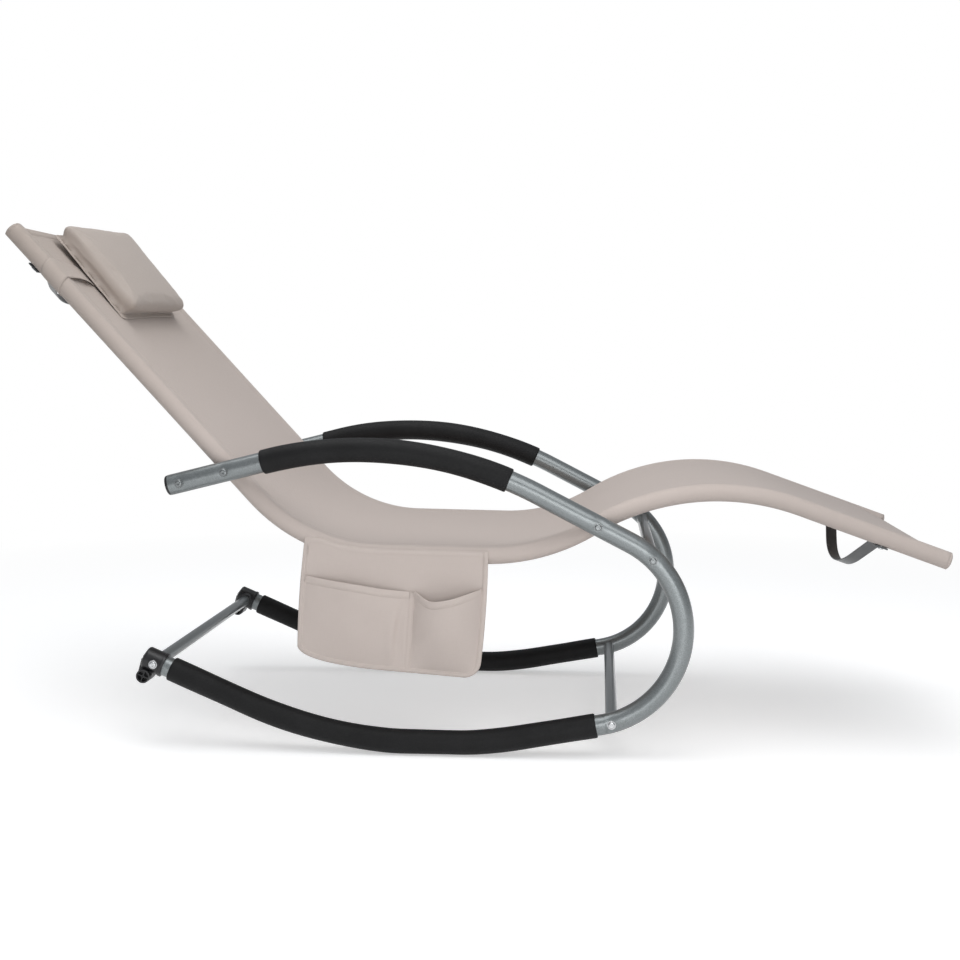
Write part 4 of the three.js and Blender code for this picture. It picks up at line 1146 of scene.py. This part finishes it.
def bound_edge(large_rim, small_rim):
    """The binding folded over both sides and the bottom, and its row of stitches."""
    spots = [(0.0, h) for h in np.linspace(pouch_top(0.0) - 1.0, low_edge(0.0), 40)]
    spots += [(x, low_edge(x)) for x in 118 * np.linspace(0.0, 1.0, 40)[1:] ** 2 + 0.6]
    mx, mh = POUCH_W - POUCH_CORNER, -POUCH_H + POUCH_CORNER
    spots += [(x, low_edge(x)) for x in np.linspace(124.0, mx - 1.0, 18)]
    for a in np.linspace(0, math.pi / 2, 14):
        spots.append((mx + (POUCH_CORNER - 0.1) * math.sin(a), mh - POUCH_CORNER * math.cos(a)))
    spots += [(POUCH_W, h) for h in np.linspace(mh + 2.0, pouch_top(POUCH_W) - 1.0, 36)]
    line = np.array([(widened(x, h), h) for x, h in spots])
    ahead = unit(np.gradient(line, axis=0))
    inward = np.stack([-ahead[:, 1], ahead[:, 0]], 1)
    rings, sewn = [], []
    for (x, h), n in zip(line, inward):
        rim = large_rim if x < POUCH_W / 2 else small_rim
        front = 2.05 + 1.6 * ease(clamp((rim - h + 6.0) / 8.0))
        bend = min(0.0, back_depth(clamp(x, 0.0, POUCH_W), h) - 0.7)
        shape = [
            (7.0, front - 0.75), (6.6, front - 0.15), (3.5, front), (0.3, front - 0.1),
            (-0.8, front * 0.72), (-1.0, front * 0.45), (-0.8, 0.1), (0.2, -0.2),
            (6.8, -0.2), (7.0, 0.2),
        ]
        rings.append([on_pouch(x + n[0] * i, h + n[1] * i, o + bend) for i, o in shape])
        sewn.append(on_pouch(x + n[0] * 5.4, h + n[1] * 5.4, front + bend + 0.02))
    edge = loft("pouch_binding", rings, pouch_cloth, "side_pouch", sharp=60)
    return edge, row(sewn)


def pouch_seams(name, lines, pitch=4.2, length=3.0, width=0.7, rise=0.35):
    return stitches(name, lines, "side_pouch", pouch_cloth, pitch, length, width, rise)


def pouch():
    rings = pouch_grid(0.0, POUCH_W, pouch_top, back_depth, 48, 40)
    back = skin("pouch_back_panel", rings, pouch_cloth, "side_pouch", 1.3)
    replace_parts(back, "pouch_back")
    edge, sewn = bound_edge(-61.0, -57.5)
    seam = [(x, pouch_top(x) - 8.2) for x in np.linspace(8, POUCH_W - 8, 60)]
    lines = [row([on_pouch(x, h, back_depth(x, h) + 0.68) for x, h in seam]), sewn]
    trims, tacks = [edge], []
    for name, x0, x1, drops, bulge, seed in (
        ("large_pocket", 0.0, SPLIT - 2.0, [61, 64.5, 67.5, 71.5, 73], 11.0, 0.4),
        ("small_pocket", SPLIT + 2.0, POUCH_W, [71.5, 82, 77, 67, 57.5], 26.0, 2.1),
    ):
        top = rim_of(x0, x1, drops)
        depth = pocket_depth(x0, x1, top, bulge, seed)
        rings = pouch_grid(x0, x1, top, depth, 64, 44)
        pocket = skin(f"{name}_front", rings, pouch_cloth, "side_pouch", 1.2)
        inner = np.linspace(*within(x0, x1, 4, 1.5), 60)
        hem = hem_along(f"{name}_rim", inner, top, depth)
        seam = [(x, top(x) - 9.6) for x in inner]
        sewn = row([on_pouch(widened(x, h), h, depth(x, h) + 0.86) for x, h in seam])
        trim = [hem, pouch_seams(f"{name}_rim_stitches", [sewn])]
        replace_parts(pocket, name)
        for x in within(x0, x1, 3.4, 0.6):
            tacks.append(row([on_pouch(x, top(clamp(x, x0, x1)) + d, 4.05) for d in (2.0, -10.0)]))
    # the seam between the pockets, under a narrow tape
    low = low_edge(SPLIT)
    tape = ((-3.6, 3.1), (-3.4, 3.7), (0.0, 3.85), (3.4, 3.7), (3.6, 3.1), (0.0, 1.5))
    heights = np.linspace(-74.0, low + 5.0, 30)
    rings = [[on_pouch(SPLIT + a, h, o) for a, o in tape] for h in heights]
    trims.append(loft("pocket_split_tape", rings, pouch_cloth, "side_pouch", sharp=50))
    for a in (-2.2, 2.2):
        lines.append(row([on_pouch(SPLIT + a, h, 3.78) for h in np.linspace(-76.0, low + 8.0, 20)]))
    for x, h0, h1 in ((5.2, -13.0, -28.0), (POUCH_W - 5.0, -10.0, -22.0)):
        tacks.append(row([on_pouch(x, h, 2.2) for h in (h0, h1)]))
    trims.append(pouch_seams("pouch_stitches", lines, width=0.75))
    trims.append(pouch_seams("pouch_bar_tacks", tacks, 1.1, 0.95, 2.6, 0.45))


pouch()


# ---- stage, light, camera
def stage():
    net = Net("floor")
    path = net.add("LightPath")
    seen = net.math("MAXIMUM", path.outputs["Is Camera Ray"], path.outputs["Is Glossy Ray"])
    seen = net.math("MAXIMUM", seen, path.outputs["Is Transmission Ray"])
    place = net.place()
    away = net.add("VectorMath", {0: place}, operation="LENGTH").outputs["Value"]
    far = net.ramp(away, 1.1, 2.6)
    grey = net.add("BsdfDiffuse", {"Color": (0.8, 0.8, 0.8, 1.0)})
    lift = net.add("Emission", {"Color": (1, 1, 1, 1), "Strength": 0.42})
    near = net.add("AddShader", {0: grey.outputs[0], 1: lift.outputs[0]})
    near = net.add("MixShader", {0: seen, 1: grey.outputs[0], 2: near.outputs[0]})
    white = net.add("Emission", {"Color": (1, 1, 1, 1), "Strength": 1.0})
    white = net.add("MixShader", {0: seen, 1: grey.outputs[0], 2: white.outputs[0]})
    both = net.add("MixShader", {0: far, 1: near.outputs[0], 2: white.outputs[0]})
    net.add("OutputMaterial", {"Surface": both.outputs[0]})
    mesh = bpy.data.meshes.new("floor")
    mesh.from_pydata([(-30, -30, 0), (30, -30, 0), (30, 30, 0), (-30, 30, 0)], [], [(0, 1, 2, 3)])
    mesh.materials.append(net.owner)
    floor = bpy.data.objects.new("floor", mesh)
    scene.collection.objects.link(floor)
    floor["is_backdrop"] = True

    net = Net("studio", bpy.data.worlds)
    plain = net.add("Background", {0: (0.93, 0.96, 1.0, 1), 1: 0.4})
    white = net.add("Background", {0: (1, 1, 1, 1)})
    seen = net.add("LightPath").outputs["Is Camera Ray"]
    both = net.add("MixShader", {0: seen, 1: plain.outputs[0], 2: white.outputs[0]})
    net.add("OutputWorld", {0: both.outputs[0]})
    scene.world = net.owner


def lamp(name, where, aim, size, power):
    data = bpy.data.lights.new(name, "AREA")
    data.shape = "RECTANGLE"
    data.size, data.size_y = size
    data.energy = power
    obj = bpy.data.objects.new(name, data)
    obj.location = where
    obj.rotation_euler = (Vector(aim) - Vector(where)).to_track_quat("-Z", "Y").to_euler()
    scene.collection.objects.link(obj)
    return obj


stage()
lamp("key", (0.9, -1.9, 2.6), (0.0, 0.0, 0.3), (1.8, 1.8), 24)
lamp("front", (0.4, -1.9, 0.5), (0.0, -0.2, 0.3), (1.2, 0.6), 7.8)
lamp("top", (-0.5, -0.3, 3.2), (0.0, 0.0, 0.3), (2.8, 2.0), 46)
strip = lamp("strip", (0.1, -1.75, 0.07), (0.1, 0.0, 0.32), (2.6, 0.05), 1.5)
strip.visible_camera = False

camera = bpy.data.cameras.new("camera")
camera.lens = 52.05
camera.sensor_width = 36.0
camera.clip_start, camera.clip_end = 0.05, 80
eye = bpy.data.objects.new("camera", camera)
pan, tilt = math.radians(4.901), math.radians(5.146)
eye.location = (on_side(0.0)[0][0] * MM + 0.2572, -2.39158, 0.62003)
level = math.cos(tilt)
looks = Vector((-math.sin(pan) * level, math.cos(pan) * level, -math.sin(tilt)))
eye.rotation_euler = looks.to_track_quat("-Z", "Y").to_euler()
scene.collection.objects.link(eye)
scene.camera = eye
scene.view_settings.view_transform = "Standard"

bpy.context.view_layer.update()
low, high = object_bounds()
